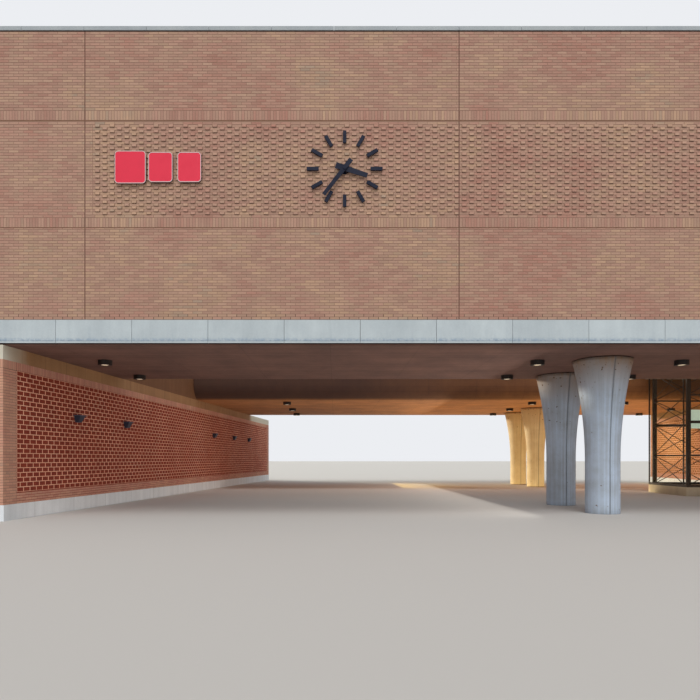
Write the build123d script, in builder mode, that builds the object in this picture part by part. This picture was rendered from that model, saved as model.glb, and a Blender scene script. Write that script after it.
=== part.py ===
from build123d import *
import math
import os

# A railway station built over a road: a brick storey on a bridge deck, a second deck behind it,
# brick-faced road walls, flared round columns and a glazed tower in the gap between the decks.
# Millimetres. X runs along the front, Y from the front to the back, Z up from the ground.

# Plan of the decks, from the front face to the back
bay_count = 4
bay_length = 9950.0
front_deck_depth = 6650.0
gap_depth = 7450.0
rear_deck_depth = 10800.0
wing_length = 5700.0

# Levels above the ground
plinth_top = 430.0
head_band_height = 380.0
soffit_level = 4700.0
fascia_height = 670.0
lower_tier_height = 2440.0
middle_tier_height = 2850.0
upper_tier_height = 2390.0
coping_height = 105.0
rear_deck_thickness = 1200.0
rear_deck_nose_depth = 660.0
rear_deck_nose_height = 800.0
rear_deck_nose_boards = 10

# Walls of the upper storey
leaf_thickness = 115.0
backing_thickness = 200.0
panel_joint = 24.0
roof_drop = 420.0
roof_thickness = 250.0
coping_overhang = 30.0
coping_shadow_gap = 12.0
coping_slope = 12.0
coping_piece_count = 24
coping_joint = 8.0

# Pieces of the concrete fascia band, which ends above the soffit and has a drip groove
fascia_piece_length = 2027.0
fascia_joint = 10.0
fascia_joint_offset = -600.0
fascia_pieces_each_way = 9
fascia_arris = 12.0
fascia_lift = 45.0
drip_groove_level = 45.0
drip_groove_height = 18.0
drip_groove_depth = 10.0

# Walls beside the road, which runs askew under the decks
road_skew_angle = 6.7
left_base_width = 7770.0
right_base_width = 4300.0
corner_pier_depth = 550.0
core_thickness = 400.0
end_wall_thickness = 365.0
plinth_proud = 20.0

# Round columns that flare towards the deck
column_radius = 500.0
column_top_radius = 870.0
column_straight_height = 1600.0
column_board_count = 28
seam_width = 40.0
seam_depth = 18.0
front_column_from_right = 10670.0
front_column_setbacks = (2440.0, 5750.0)
rear_column_from_right = 6850.0
rear_column_setbacks = (5500.0, 8800.0)

# Glazed tower, which stands off the right road line and the rear deck
tower_wall_gap = 300.0
tower_landing_length = 500.0
tower_width = 2970.0
tower_depth = 3150.0
tower_plinth_height = 400.0
tower_height = 8700.0
post_size = 150.0
post_inset = 120.0
transom_depth = 90.0
transom_levels = (1830.0, 3320.0, 4530.0, 5900.0, 7300.0)
transom_heights = (70.0, 120.0, 70.0, 70.0, 70.0)
glazing_bar = 50.0
glazing_rail_height = 110.0
side_bar_setback = 300.0
glass_thickness = 24.0
tower_roof_thickness = 140.0
tower_roof_overhang = 120.0
tower_landing_thickness = 200.0
privacy_panel_bottom = 3030.0
privacy_panel_top = 3870.0
privacy_panel_thickness = 12.0

# Clock on the front face
clock_x = -3045.0
clock_level = 9340.0
marker_count = 12
marker_inner_radius = 686.0
marker_outer_radius = 1005.0
marker_width = 90.0
marker_depth = 50.0
marker_stand_off = 50.0
stud_size = 18.0
hand_thickness = 20.0
hand_gap = 10.0
hand_hub_width = 30.0
hour_hand_length = 630.0
hour_hand_tail = 250.0
hour_hand_widths = (160.0, 120.0)
minute_hand_length = 900.0
minute_hand_tail = 280.0
minute_hand_widths = (120.0, 95.0)
hour_arbor_radius = 55.0
minute_arbor_radius = 35.0
arbor_clearance = 0.5
clock_base_radius = 110.0
clock_base_depth = 15.0
nose_radius = 50.0
nose_depth = 15.0
minutes_shown = 216.33

# Three blank tiles in the place of the sign
sign_tile_centres = (-8712.0, -7913.0, -7150.0)
sign_tile_widths = (811.0, 629.0, 615.0)
sign_tile_heights = (850.0, 780.0, 780.0)
sign_tile_level = 9374.0
sign_tile_depth = 60.0
sign_tile_stand_off = 45.0
sign_tile_corner = 90.0

# Lamps
soffit_light_diameter = 420.0
soffit_light_depth = 130.0
soffit_light_sides = 16
front_light_from_left = 1730.0
front_lights_from_right = (12650.0, 8200.0)
front_light_setbacks = (2500.0, 5700.0)
rear_light_from_left = 6280.0
rear_lights_from_right = (8400.0, 3500.0, -1300.0)
rear_light_setbacks = (1500.0, 5500.0, 9200.0)
wall_lamp_level = 2850.0
wall_lamp_height = 230.0
wall_lamp_setbacks = (3500.0, 6850.0, 17200.0, 21000.0, 24500.0)
wall_lamp_lengths = (190.0, 330.0)
wall_lamp_reaches = (120.0, 230.0)

# Worked out from the sizes above
length = bay_count * bay_length
half_length = length / 2
run_depth = front_deck_depth + gap_depth + rear_deck_depth
total_depth = run_depth + wing_length
hour_hand_front = marker_stand_off + marker_depth + hand_gap + hand_thickness
minute_hand_front = hour_hand_front + hand_gap + hand_thickness
clock_reach = minute_hand_front + nose_depth + arbor_clearance
face_y = -(total_depth - clock_reach) / 2
fascia_top = soffit_level + fascia_height
deck_top = soffit_level + rear_deck_thickness
lower_tier_top = fascia_top + lower_tier_height
middle_tier_top = lower_tier_top + middle_tier_height
wall_top = middle_tier_top + upper_tier_height
head_band_bottom = soffit_level - head_band_height
front_deck_back = face_y + front_deck_depth
rear_deck_front = front_deck_back + gap_depth
rear_deck_back = face_y + run_depth
wing_end = face_y + total_depth
road_skew = math.tan(math.radians(road_skew_angle))
left_road_line = -half_length + left_base_width
right_road_line = half_length - right_base_width
front_column_x = right_road_line - front_column_from_right
rear_column_x = right_road_line - rear_column_from_right
tower_x1 = right_road_line - tower_wall_gap
tower_x = tower_x1 - tower_width
tower_y1 = rear_deck_front - tower_landing_length
tower_y0 = tower_y1 - tower_depth
front_light_x = [left_road_line + front_light_from_left]
front_light_x += [right_road_line - offset for offset in front_lights_from_right]
rear_light_x = [left_road_line + rear_light_from_left]
rear_light_x += [right_road_line - offset for offset in rear_lights_from_right]
inner_x = half_length - leaf_thickness
inner_front = face_y + leaf_thickness
inner_back = front_deck_back - leaf_thickness
tiers = (
    (fascia_top, lower_tier_top - panel_joint / 2),
    (lower_tier_top + panel_joint / 2, middle_tier_top - panel_joint / 2),
    (middle_tier_top + panel_joint / 2, wall_top - coping_shadow_gap),
)

os.makedirs("parts", exist_ok=True)


def write(part, name):
    """Label a finished piece and write it as a STEP file of its own name."""
    part.label = name
    export_step(part, "parts/" + name + ".step")


def block(x0, x1, y0, y1, z0, z1):
    """Draw a rectangle between two corners in plan and raise it between two levels."""
    with BuildSketch(Plane.XY.offset(z0)) as outline:
        with Locations(((x0 + x1) / 2, (y0 + y1) / 2)):
            Rectangle(x1 - x0, y1 - y0)
    extrude(outline.sketch, amount=z1 - z0)


def prism(points, z0, z1):
    """Raise a plan outline, given by its corners, between two levels."""
    with BuildSketch(Plane.XY.offset(z0)) as outline:
        Polygon(*points, align=None)
    extrude(outline.sketch, amount=z1 - z0)


def road_x(line, y):
    """Give the X of a skewed road wall, which starts at a line on the front face."""
    return line + road_skew * (y - face_y)


def skew_strip(line, near, far, y0, y1):
    """Give the plan of a strip beside a road wall, between two offsets from its line."""
    return [
        (road_x(line, y0) + near, y0),
        (road_x(line, y0) + far, y0),
        (road_x(line, y1) + far, y1),
        (road_x(line, y1) + near, y1),
    ]


def bays(level_pairs, y0, y1):
    """Raise one brick panel for each bay and tier, with open joints between them."""
    for z0, z1 in level_pairs:
        for index in range(bay_count):
            start = -half_length + index * bay_length
            left = start + (panel_joint / 2 if index > 0 else 0)
            right = start + bay_length - (panel_joint / 2 if index < bay_count - 1 else 0)
            block(left, right, y0, y1, z0, z1)


def front_plane(distance):
    """Give a plane parallel to the front face, at a distance before it, centred on the clock."""
    return Plane(origin=(clock_x, face_y - distance, clock_level), x_dir=(1, 0, 0), z_dir=(0, -1, 0))


def hand_plane(distance, degrees_from_twelve):
    """Give the plane of a clock hand, whose own Y axis points along the hand."""
    angle = math.radians(degrees_from_twelve)
    along_x = (math.cos(angle), 0, -math.sin(angle))
    return Plane(origin=(clock_x, face_y - distance, clock_level), x_dir=along_x, z_dir=(0, -1, 0))


# Fascia band of precast pieces along the front edge of the deck
fascia_joints = [
    fascia_joint_offset + step * fascia_piece_length
    for step in range(-fascia_pieces_each_way, fascia_pieces_each_way + 1)
]
with BuildPart() as fascia_band:
    edges_left = [-half_length] + [x + fascia_joint / 2 for x in fascia_joints]
    edges_right = [x - fascia_joint / 2 for x in fascia_joints] + [half_length]
    band_bottom = soffit_level + fascia_lift
    groove_bottom = band_bottom + drip_groove_level
    for left, right in zip(edges_left, edges_right):
        with BuildSketch(Plane.YZ.offset(left)) as section:
            with BuildLine():
                Polyline(
                    (inner_front, band_bottom),
                    (face_y, band_bottom),
                    (face_y, groove_bottom),
                    (face_y + drip_groove_depth, groove_bottom),
                    (face_y + drip_groove_depth, groove_bottom + drip_groove_height),
                    (face_y, groove_bottom + drip_groove_height),
                    (face_y, fascia_top - fascia_arris),
                    (face_y + fascia_arris, fascia_top),
                    (inner_front, fascia_top),
                    close=True,
                )
            make_face()
        extrude(section.sketch, amount=right - left)
write(fascia_band.part, "fascia_band")

# Front deck, which carries the brick storey
with BuildPart() as front_deck:
    block(-half_length, half_length, inner_front, front_deck_back, soffit_level, fascia_top)
write(front_deck.part, "front_deck")

# Rear deck, whose front edge rolls under in a quarter of an ellipse, one flat for each formwork board
nose_points = []
for board in range(rear_deck_nose_boards + 1):
    turn = math.radians(90) * board / rear_deck_nose_boards
    nose_points.append((
        rear_deck_front + rear_deck_nose_depth * (1 - math.cos(turn)),
        soffit_level + rear_deck_nose_height * (1 - math.sin(turn)),
    ))
with BuildPart() as rear_deck:
    with BuildSketch(Plane.YZ.offset(-half_length)):
        with BuildLine():
            Polyline(
                *nose_points, (rear_deck_back, soffit_level), (rear_deck_back, deck_top),
                (rear_deck_front, deck_top), close=True)
        make_face()
    extrude(amount=length)
write(rear_deck.part, "rear_deck")

# Brick leaf of the front, one node for each tier
with BuildPart() as front_brick_lower:
    bays(tiers[0:1], face_y, inner_front)
write(front_brick_lower.part, "front_brick_lower")

with BuildPart() as front_brick_middle:
    bays(tiers[1:2], face_y, inner_front)
write(front_brick_middle.part, "front_brick_middle")

with BuildPart() as front_brick_upper:
    bays(tiers[2:3], face_y, inner_front)
write(front_brick_upper.part, "front_brick_upper")

# Brick leaf of the back, with the same bays and tiers
with BuildPart() as back_brick:
    bays(tiers, inner_back, front_deck_back)
write(back_brick.part, "back_brick")

# Brick leaf of the two ends
with BuildPart() as left_brick:
    for z0, z1 in tiers:
        block(-half_length, -inner_x, inner_front, inner_back, z0, z1)
write(left_brick.part, "left_brick")

with BuildPart() as right_brick:
    for z0, z1 in tiers:
        block(inner_x, half_length, inner_front, inner_back, z0, z1)
write(right_brick.part, "right_brick")

# Backing walls behind the brick leaf
room_x = inner_x - backing_thickness
room_front = inner_front + backing_thickness
room_back = inner_back - backing_thickness
with BuildPart() as backing_front:
    block(-inner_x, inner_x, inner_front, room_front, fascia_top, wall_top)
write(backing_front.part, "backing_front")

with BuildPart() as backing_back:
    block(-inner_x, inner_x, room_back, inner_back, fascia_top, wall_top)
write(backing_back.part, "backing_back")

with BuildPart() as backing_left:
    block(-inner_x, -room_x, room_front, room_back, fascia_top, wall_top)
write(backing_left.part, "backing_left")

with BuildPart() as backing_right:
    block(room_x, inner_x, room_front, room_back, fascia_top, wall_top)
write(backing_right.part, "backing_right")

# Roof slab between the backing walls, below the parapet
roof_top = wall_top - roof_drop
with BuildPart() as roof_slab:
    block(-room_x, room_x, room_front, room_back, roof_top - roof_thickness, roof_top)
write(roof_slab.part, "roof_slab")

# Coping stones, which slope back to the roof
coping_width = leaf_thickness + backing_thickness + 2 * coping_overhang


def coping_section(outer, inward):
    """Give the section of a coping from its outer edge inwards, higher at the outer edge."""
    return [
        (outer, wall_top),
        (outer, wall_top + coping_height),
        (outer + inward * coping_width, wall_top + coping_height - coping_slope),
        (outer + inward * coping_width, wall_top),
    ]


coping_pitch = (length + 2 * coping_overhang) / coping_piece_count
for name, outer, inward in (
    ("front_coping", face_y - coping_overhang, 1),
    ("back_coping", front_deck_back + coping_overhang, -1),
):
    with BuildPart() as coping:
        for index in range(coping_piece_count):
            start = -half_length - coping_overhang + index * coping_pitch
            gap = coping_joint if index < coping_piece_count - 1 else 0
            with BuildSketch(Plane.YZ.offset(start)):
                Polygon(*coping_section(outer, inward), align=None)
            extrude(amount=coping_pitch - gap)
    write(coping.part, name)

end_coping_front = face_y - coping_overhang + coping_width
end_coping_run = front_deck_depth + 2 * coping_overhang - 2 * coping_width
with BuildPart() as end_copings:
    for outer, inward in ((-half_length - coping_overhang, 1), (half_length + coping_overhang, -1)):
        with BuildSketch(Plane.XZ.offset(-end_coping_front - coping_joint)):
            Polygon(*coping_section(outer, inward), align=None)
        extrude(amount=-(end_coping_run - 2 * coping_joint))
write(end_copings.part, "end_copings")

# Columns: straight below, then a long arc that flares out to the deck. Flat formwork boards leave
# a many-sided shaft, which is what crossed prisms have in common, one prism for each pair of boards.


def column_outline(inset):
    """Give the closed side view of a column, narrower by an inset all the way up."""
    with BuildLine() as side:
        right = Polyline((0, 0), (column_radius - inset, 0), (column_radius - inset, column_straight_height))
        flare = TangentArc(right @ 1, (column_top_radius - inset, soffit_level), tangent=(0, 1))
        Line(flare @ 1, (0, soffit_level))
        mirror(about=Plane.YZ)
    return side.line


board_angle = 360 / column_board_count
with BuildPart() as column_shaft:
    for step in range(column_board_count // 2):
        turned = Plane.XZ.rotated((0, 0, step * board_angle))
        with BuildSketch(turned) as outline:
            make_face(column_outline(0).edges())
        extrude(outline.sketch, amount=2 * column_top_radius, both=True,
                mode=Mode.ADD if step == 0 else Mode.INTERSECT)
with BuildPart() as seam_core:
    with BuildSketch(Plane.YZ) as outline:
        make_face(column_outline(seam_depth).edges())
    extrude(outline.sketch, amount=2 * column_top_radius, both=True)
with BuildPart() as seam_cut:
    with BuildSketch(Plane.XY):
        Rectangle(seam_width, 4 * column_top_radius)
    extrude(amount=soffit_level)
    add(seam_core.part, mode=Mode.SUBTRACT)
with BuildPart() as seamed_column:
    add(column_shaft.part)
    add(seam_cut.part, mode=Mode.SUBTRACT)

for name, column_x, deck_edge, setbacks in (
    ("front_columns", front_column_x, face_y, front_column_setbacks),
    ("rear_columns", rear_column_x, rear_deck_front, rear_column_setbacks),
):
    with BuildPart() as columns:
        with Locations(*[(column_x, deck_edge + setback) for setback in setbacks]):
            add(seamed_column.part)
    write(columns.part, name)

# Walls of the two base blocks. Each side has its road line, its outer end and the way its core lies.
sides = (
    ("left", left_road_line, -half_length, -1, wing_end),
    ("right", right_road_line, half_length, 1, rear_deck_back),
)
pier_back = face_y + corner_pier_depth

with BuildPart() as base_front_walls:
    for _, line, outer, _, _ in sides:
        prism(
            [(outer, face_y), (line, face_y), (road_x(line, pier_back), pier_back), (outer, pier_back)],
            plinth_top, head_band_bottom)
write(base_front_walls.part, "base_front_walls")

base_back_front = rear_deck_back - end_wall_thickness
core_back = leaf_thickness + core_thickness
for side, line, outer, away, run_end in sides:
    inner_end = outer - away * end_wall_thickness
    with BuildPart() as road_brick:
        prism(skew_strip(line, 0, away * leaf_thickness, pier_back, run_end), plinth_top, head_band_bottom)
    write(road_brick.part, side + "_road_brick")
    with BuildPart() as road_core:
        prism(
            skew_strip(line, away * leaf_thickness, away * core_back, pier_back, run_end),
            0, soffit_level)
    write(road_core.part, side + "_road_core")
    with BuildPart() as end_wall:
        block(min(outer, inner_end), max(outer, inner_end), pier_back, rear_deck_back, 0, soffit_level)
    write(end_wall.part, side + "_end_wall")
    with BuildPart() as base_back_wall:
        prism(
            [
                (inner_end, base_back_front),
                (road_x(line, base_back_front) + away * core_back, base_back_front),
                (road_x(line, rear_deck_back) + away * core_back, rear_deck_back),
                (inner_end, rear_deck_back),
            ],
            0, soffit_level)
    write(base_back_wall.part, side + "_back_wall")

for name, z0, z1, proud in (
    ("road_plinths", 0, plinth_top, plinth_proud),
    ("head_bands", head_band_bottom, soffit_level, 0),
):
    with BuildPart() as band:
        for _, line, outer, away, run_end in sides:
            prism(
                [(outer, face_y), (line - away * proud, face_y),
                 (road_x(line, pier_back) - away * proud, pier_back), (outer, pier_back)],
                z0, z1)
            prism(skew_strip(line, -away * proud, away * leaf_thickness, pier_back, run_end), z0, z1)
    write(band.part, name)

# Platform slabs over the base blocks, between the two decks and under the nose of the rear one
slab_back = rear_deck_front + rear_deck_nose_depth
with BuildPart() as platform_slabs:
    for _, line, outer, _, _ in sides:
        prism(
            [
                (outer, front_deck_back),
                (road_x(line, front_deck_back), front_deck_back),
                (road_x(line, slab_back), slab_back),
                (outer, slab_back),
            ],
            soffit_level, deck_top)
    add(rear_deck.part, mode=Mode.SUBTRACT)
write(platform_slabs.part, "platform_slabs")

# Glazed tower: a plinth, posts and transoms inside, and a skin of glass in slim bars and rails outside
post_x0 = tower_x + post_inset
post_x1 = tower_x1 - post_inset
rail_top = tower_plinth_height + glazing_rail_height
rail_bottom = tower_height - glazing_rail_height
landing_bottom = deck_top - tower_landing_thickness
transoms = [
    (level - height / 2, level + height / 2)
    for level, height in zip(transom_levels, transom_heights)
]

with BuildPart() as tower_plinth:
    block(tower_x, tower_x1, tower_y0, tower_y1, 0, tower_plinth_height)
write(tower_plinth.part, "tower_plinth")

# The back has one more rail, which meets the landing
for name, skin_y, post_y, transom_y, landing_rail in (
    ("tower_frame_front", tower_y0, tower_y0 + post_inset, tower_y0 + post_inset, ()),
    ("tower_frame_back", tower_y1 - glazing_bar, tower_y1 - post_inset - post_size,
     tower_y1 - post_inset - transom_depth, ((landing_bottom, deck_top),)),
):
    with BuildPart() as frame:
        for x in (post_x0, post_x1 - post_size):
            block(x, x + post_size, post_y, post_y + post_size, tower_plinth_height, tower_height)
        for z0, z1 in transoms:
            block(post_x0 + post_size, post_x1 - post_size, transom_y, transom_y + transom_depth, z0, z1)
        for x in (tower_x, tower_x1 - glazing_bar):
            block(x, x + glazing_bar, skin_y, skin_y + glazing_bar, tower_plinth_height, tower_height)
        for z0, z1 in ((tower_plinth_height, rail_top), (rail_bottom, tower_height), *landing_rail):
            block(tower_x + glazing_bar, tower_x1 - glazing_bar, skin_y, skin_y + glazing_bar, z0, z1)
    write(frame.part, name)

# Each side has a sill, a head rail and two upright bars behind its glass
glass_inset = (glazing_bar - glass_thickness) / 2
glass_back = glass_inset + glass_thickness
for name, skin_x, bar_x in (
    ("tower_frame_left", tower_x, tower_x + glass_back),
    ("tower_frame_right", tower_x1 - glazing_bar, tower_x1 - glass_back - glazing_bar),
):
    with BuildPart() as frame:
        for z0, z1 in ((tower_plinth_height, rail_top), (rail_bottom, tower_height)):
            block(skin_x, skin_x + glazing_bar, tower_y0 + glazing_bar, tower_y1 - glazing_bar, z0, z1)
        for y in (tower_y0 + side_bar_setback, tower_y1 - side_bar_setback - glazing_bar):
            block(bar_x, bar_x + glazing_bar, y, y + glazing_bar, tower_plinth_height, tower_height)
    write(frame.part, name)

with BuildPart() as tower_glass:
    for y, sheets in (
        (tower_y0 + glass_inset, ((rail_top, rail_bottom),)),
        (tower_y1 - glass_back, ((rail_top, landing_bottom), (deck_top, rail_bottom))),
    ):
        for z0, z1 in sheets:
            block(tower_x + glazing_bar, tower_x1 - glazing_bar, y, y + glass_thickness, z0, z1)
    for x in (tower_x + glass_inset, tower_x1 - glass_back):
        block(x, x + glass_thickness, tower_y0 + glazing_bar, tower_y1 - glazing_bar, rail_top, rail_bottom)
write(tower_glass.part, "tower_glass")

with BuildPart() as tower_privacy_panel:
    panel_y = tower_y0 + post_inset + transom_depth
    block(post_x0 + post_size, post_x1 - post_size, panel_y, panel_y + privacy_panel_thickness,
          privacy_panel_bottom, privacy_panel_top)
write(tower_privacy_panel.part, "tower_privacy_panel")

with BuildPart() as tower_roof:
    block(tower_x - tower_roof_overhang, tower_x1 + tower_roof_overhang,
          tower_y0 - tower_roof_overhang, tower_y1 + tower_roof_overhang,
          tower_height, tower_height + tower_roof_thickness)
write(tower_roof.part, "tower_roof")

# Landing that ties the tower to the rear deck
with BuildPart() as tower_landing:
    block(post_x0, post_x1, tower_y1, rear_deck_front, landing_bottom, deck_top)
write(tower_landing.part, "tower_landing")

# Clock markers: twelve bars on studs
marker_middle = (marker_inner_radius + marker_outer_radius) / 2
marker_length = marker_outer_radius - marker_inner_radius
with BuildPart() as clock_markers:
    with BuildSketch(front_plane(marker_stand_off)):
        with PolarLocations(marker_middle, marker_count):
            Rectangle(marker_length, marker_width)
    extrude(amount=marker_depth)
    with BuildSketch(front_plane(0)):
        for stud_ring in (marker_middle - marker_length / 3, marker_middle + marker_length / 3):
            with PolarLocations(stud_ring, marker_count):
                Rectangle(stud_size, stud_size)
    extrude(amount=marker_stand_off)
write(clock_markers.part, "clock_markers")

# Clock arbor: base, a wide length for the hour hand, a slim one for the minute hand and a nose
hour_hand_back = hour_hand_front - hand_thickness
minute_hand_back = minute_hand_front - hand_thickness
arbor_step = hour_hand_front + hand_gap / 2
with BuildPart() as clock_arbor:
    for start, end, radius in (
        (0, clock_base_depth, clock_base_radius),
        (clock_base_depth, hour_hand_back - arbor_clearance, hour_arbor_radius + hand_gap),
        (hour_hand_back - arbor_clearance, arbor_step, hour_arbor_radius),
        (arbor_step, minute_hand_back - arbor_clearance, minute_arbor_radius + hand_gap),
        (minute_hand_back - arbor_clearance, minute_hand_front + arbor_clearance, minute_arbor_radius),
        (minute_hand_front + arbor_clearance, clock_reach, nose_radius),
    ):
        with BuildSketch(front_plane(start)):
            Circle(radius)
        extrude(amount=end - start)
write(clock_arbor.part, "clock_arbor")

# Clock hands, set to the time shown
for name, back, reach, tail, widths, arbor_radius, angle in (
    ("hour_hand", hour_hand_back, hour_hand_length, hour_hand_tail, hour_hand_widths,
     hour_arbor_radius, minutes_shown / 2),
    ("minute_hand", minute_hand_back, minute_hand_length, minute_hand_tail, minute_hand_widths,
     minute_arbor_radius, minutes_shown * 6),
):
    with BuildPart() as hand:
        with BuildSketch(hand_plane(back, angle)):
            with BuildLine():
                Polyline(
                    (-widths[0] / 2, -tail), (widths[0] / 2, -tail),
                    (widths[1] / 2, reach), (-widths[1] / 2, reach), close=True)
            make_face()
            Circle(arbor_radius + hand_hub_width)
            Circle(arbor_radius + arbor_clearance, mode=Mode.SUBTRACT)
        extrude(amount=hand_thickness)
    write(hand.part, name)

# Sign tiles: three blank tiles on studs
with BuildPart() as sign_tiles:
    for x, width, height in zip(sign_tile_centres, sign_tile_widths, sign_tile_heights):
        face = Plane(origin=(x, face_y - sign_tile_stand_off, sign_tile_level),
                     x_dir=(1, 0, 0), z_dir=(0, -1, 0))
        with BuildSketch(face):
            RectangleRounded(width, height, sign_tile_corner)
        extrude(amount=sign_tile_depth)
        wall = face.offset(-sign_tile_stand_off)
        with BuildSketch(wall):
            with GridLocations(width / 2, height / 2, 2, 2):
                Rectangle(stud_size, stud_size)
        extrude(amount=sign_tile_stand_off)
write(sign_tiles.part, "sign_tiles")

# Drum lights under the decks
for name, light_x, deck_edge, setbacks in (
    ("front_soffit_lights", front_light_x, face_y, front_light_setbacks),
    ("rear_soffit_lights", rear_light_x, rear_deck_front, rear_light_setbacks),
):
    with BuildPart() as lights:
        for x in light_x:
            for setback in setbacks:
                with BuildSketch(Plane.XY.offset(soffit_level - soffit_light_depth)):
                    with Locations((x, deck_edge + setback)):
                        RegularPolygon(soffit_light_diameter / 2, soffit_light_sides)
                extrude(amount=soffit_light_depth)
    write(lights.part, name)

# Wall lamps on the left road wall, longer and deeper at the top: what a view from the side and a
# view from the road have in common
side_of_lamp = Plane(origin=(0, 0, 0), x_dir=(1, -road_skew, 0), z_dir=(-road_skew, -1, 0))
front_of_lamp = Plane(origin=(0, 0, 0), x_dir=(road_skew, 1, 0), z_dir=(1, -road_skew, 0))
short_reach, long_reach = wall_lamp_reaches
short_half, long_half = [lamp_length / 2 for lamp_length in wall_lamp_lengths]
with BuildPart() as wall_lamp:
    with BuildSketch(side_of_lamp) as lamp_side:
        Polygon((0, 0), (short_reach, 0), (long_reach, wall_lamp_height), (0, wall_lamp_height), align=None)
    extrude(lamp_side.sketch, amount=long_half, both=True)
    with BuildSketch(front_of_lamp) as lamp_front:
        Polygon((-short_half, 0), (short_half, 0), (long_half, wall_lamp_height),
                (-long_half, wall_lamp_height), align=None)
    extrude(lamp_front.sketch, amount=long_reach, mode=Mode.INTERSECT)
lamp_places = [
    (road_x(left_road_line, face_y + setback), face_y + setback, wall_lamp_level)
    for setback in wall_lamp_setbacks
]
with BuildPart() as wall_lamps:
    with Locations(*lamp_places):
        add(wall_lamp.part)
write(wall_lamps.part, "wall_lamps")
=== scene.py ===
"""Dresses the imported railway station: brickwork, board-marked concrete, glazing, clock, sign and lamps."""

import logging
import math
from dataclasses import dataclass, field
from enum import Enum
from typing import Optional, Sequence, Union

import bpy
import numpy as np
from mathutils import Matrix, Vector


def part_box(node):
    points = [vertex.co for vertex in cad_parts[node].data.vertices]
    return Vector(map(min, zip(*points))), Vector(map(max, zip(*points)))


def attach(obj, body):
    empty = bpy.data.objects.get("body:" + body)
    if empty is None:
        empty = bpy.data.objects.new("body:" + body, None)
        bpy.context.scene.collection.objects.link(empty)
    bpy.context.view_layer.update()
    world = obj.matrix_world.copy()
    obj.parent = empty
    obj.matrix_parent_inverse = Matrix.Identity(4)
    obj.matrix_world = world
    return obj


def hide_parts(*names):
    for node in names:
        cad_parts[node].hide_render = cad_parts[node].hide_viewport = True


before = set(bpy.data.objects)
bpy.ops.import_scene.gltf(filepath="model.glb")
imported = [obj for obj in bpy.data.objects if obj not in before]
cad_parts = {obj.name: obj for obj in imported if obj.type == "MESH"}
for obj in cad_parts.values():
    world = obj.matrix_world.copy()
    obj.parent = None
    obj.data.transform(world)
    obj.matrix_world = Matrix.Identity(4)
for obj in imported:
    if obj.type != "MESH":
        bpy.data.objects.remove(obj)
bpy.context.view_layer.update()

Array = np.ndarray
Faces = Union[Array, Sequence[Array]]
Material = bpy.types.Material
Socket = bpy.types.NodeSocket
Triple = tuple[float, float, float]
Colour = Triple
Stops = Sequence[tuple[float, Colour]]
Number = Union[float, "Signal"]

LOG = logging.getLogger("station")
BUILDING = "building"

PHOTO_FOCAL_PX = 585.0
PHOTO_WIDTH_PX = 700.0
SENSOR_MM = 36.0

BRICK_LENGTH = 0.25
BRICK_HEIGHT = 0.065
MORTAR_JOINT = 0.010
BRICK_LEAF = 0.115
PIER_DEPTH = 0.55
ROAD_SKEW = math.tan(math.radians(6.7))


def linear(red: float, green: float, blue: float) -> Colour:
    """Turn an 8-bit display colour into the linear one that shaders use, by the usual two-part curve."""
    shares = (red / 255, green / 255, blue / 255)
    return tuple(s / 12.92 if s <= 0.04045 else ((s + 0.055) / 1.055) ** 2.4 for s in shares)


def corners(node: str) -> tuple[Array, Array]:
    """Give the lowest and highest corner of a CAD node as arrays, in metres."""
    low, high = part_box(node)
    return np.array(low, dtype=float), np.array(high, dtype=float)


class Signal:
    """One value that varies over a surface, with arithmetic that adds Math nodes."""

    def __init__(self, graph: "Graph", socket: Socket) -> None:
        """Wrap an output socket of a graph."""
        self.graph = graph
        self.socket = socket

    def __add__(self, other: Number) -> "Signal":
        """Add a value."""
        return self.graph.math("ADD", self, other)

    __radd__ = __add__

    def __sub__(self, other: Number) -> "Signal":
        """Take a value away."""
        return self.graph.math("SUBTRACT", self, other)

    def __rsub__(self, other: Number) -> "Signal":
        """Take this value away from another."""
        return self.graph.math("SUBTRACT", other, self)

    def __mul__(self, other: Number) -> "Signal":
        """Multiply by a value."""
        return self.graph.math("MULTIPLY", self, other)

    __rmul__ = __mul__

    def __truediv__(self, other: Number) -> "Signal":
        """Divide by a value."""
        return self.graph.math("DIVIDE", self, other)

    def __gt__(self, other: Number) -> "Signal":
        """Give 1 where this value is greater, and 0 elsewhere."""
        return self.graph.math("GREATER_THAN", self, other)

    def floor(self) -> "Signal":
        """Round down to a whole number."""
        return self.graph.math("FLOOR", self)

    def fraction(self) -> "Signal":
        """Keep the part after the point."""
        return self.graph.math("FRACT", self)

    def size(self) -> "Signal":
        """Give the value without its sign."""
        return self.graph.math("ABSOLUTE", self)


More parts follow.
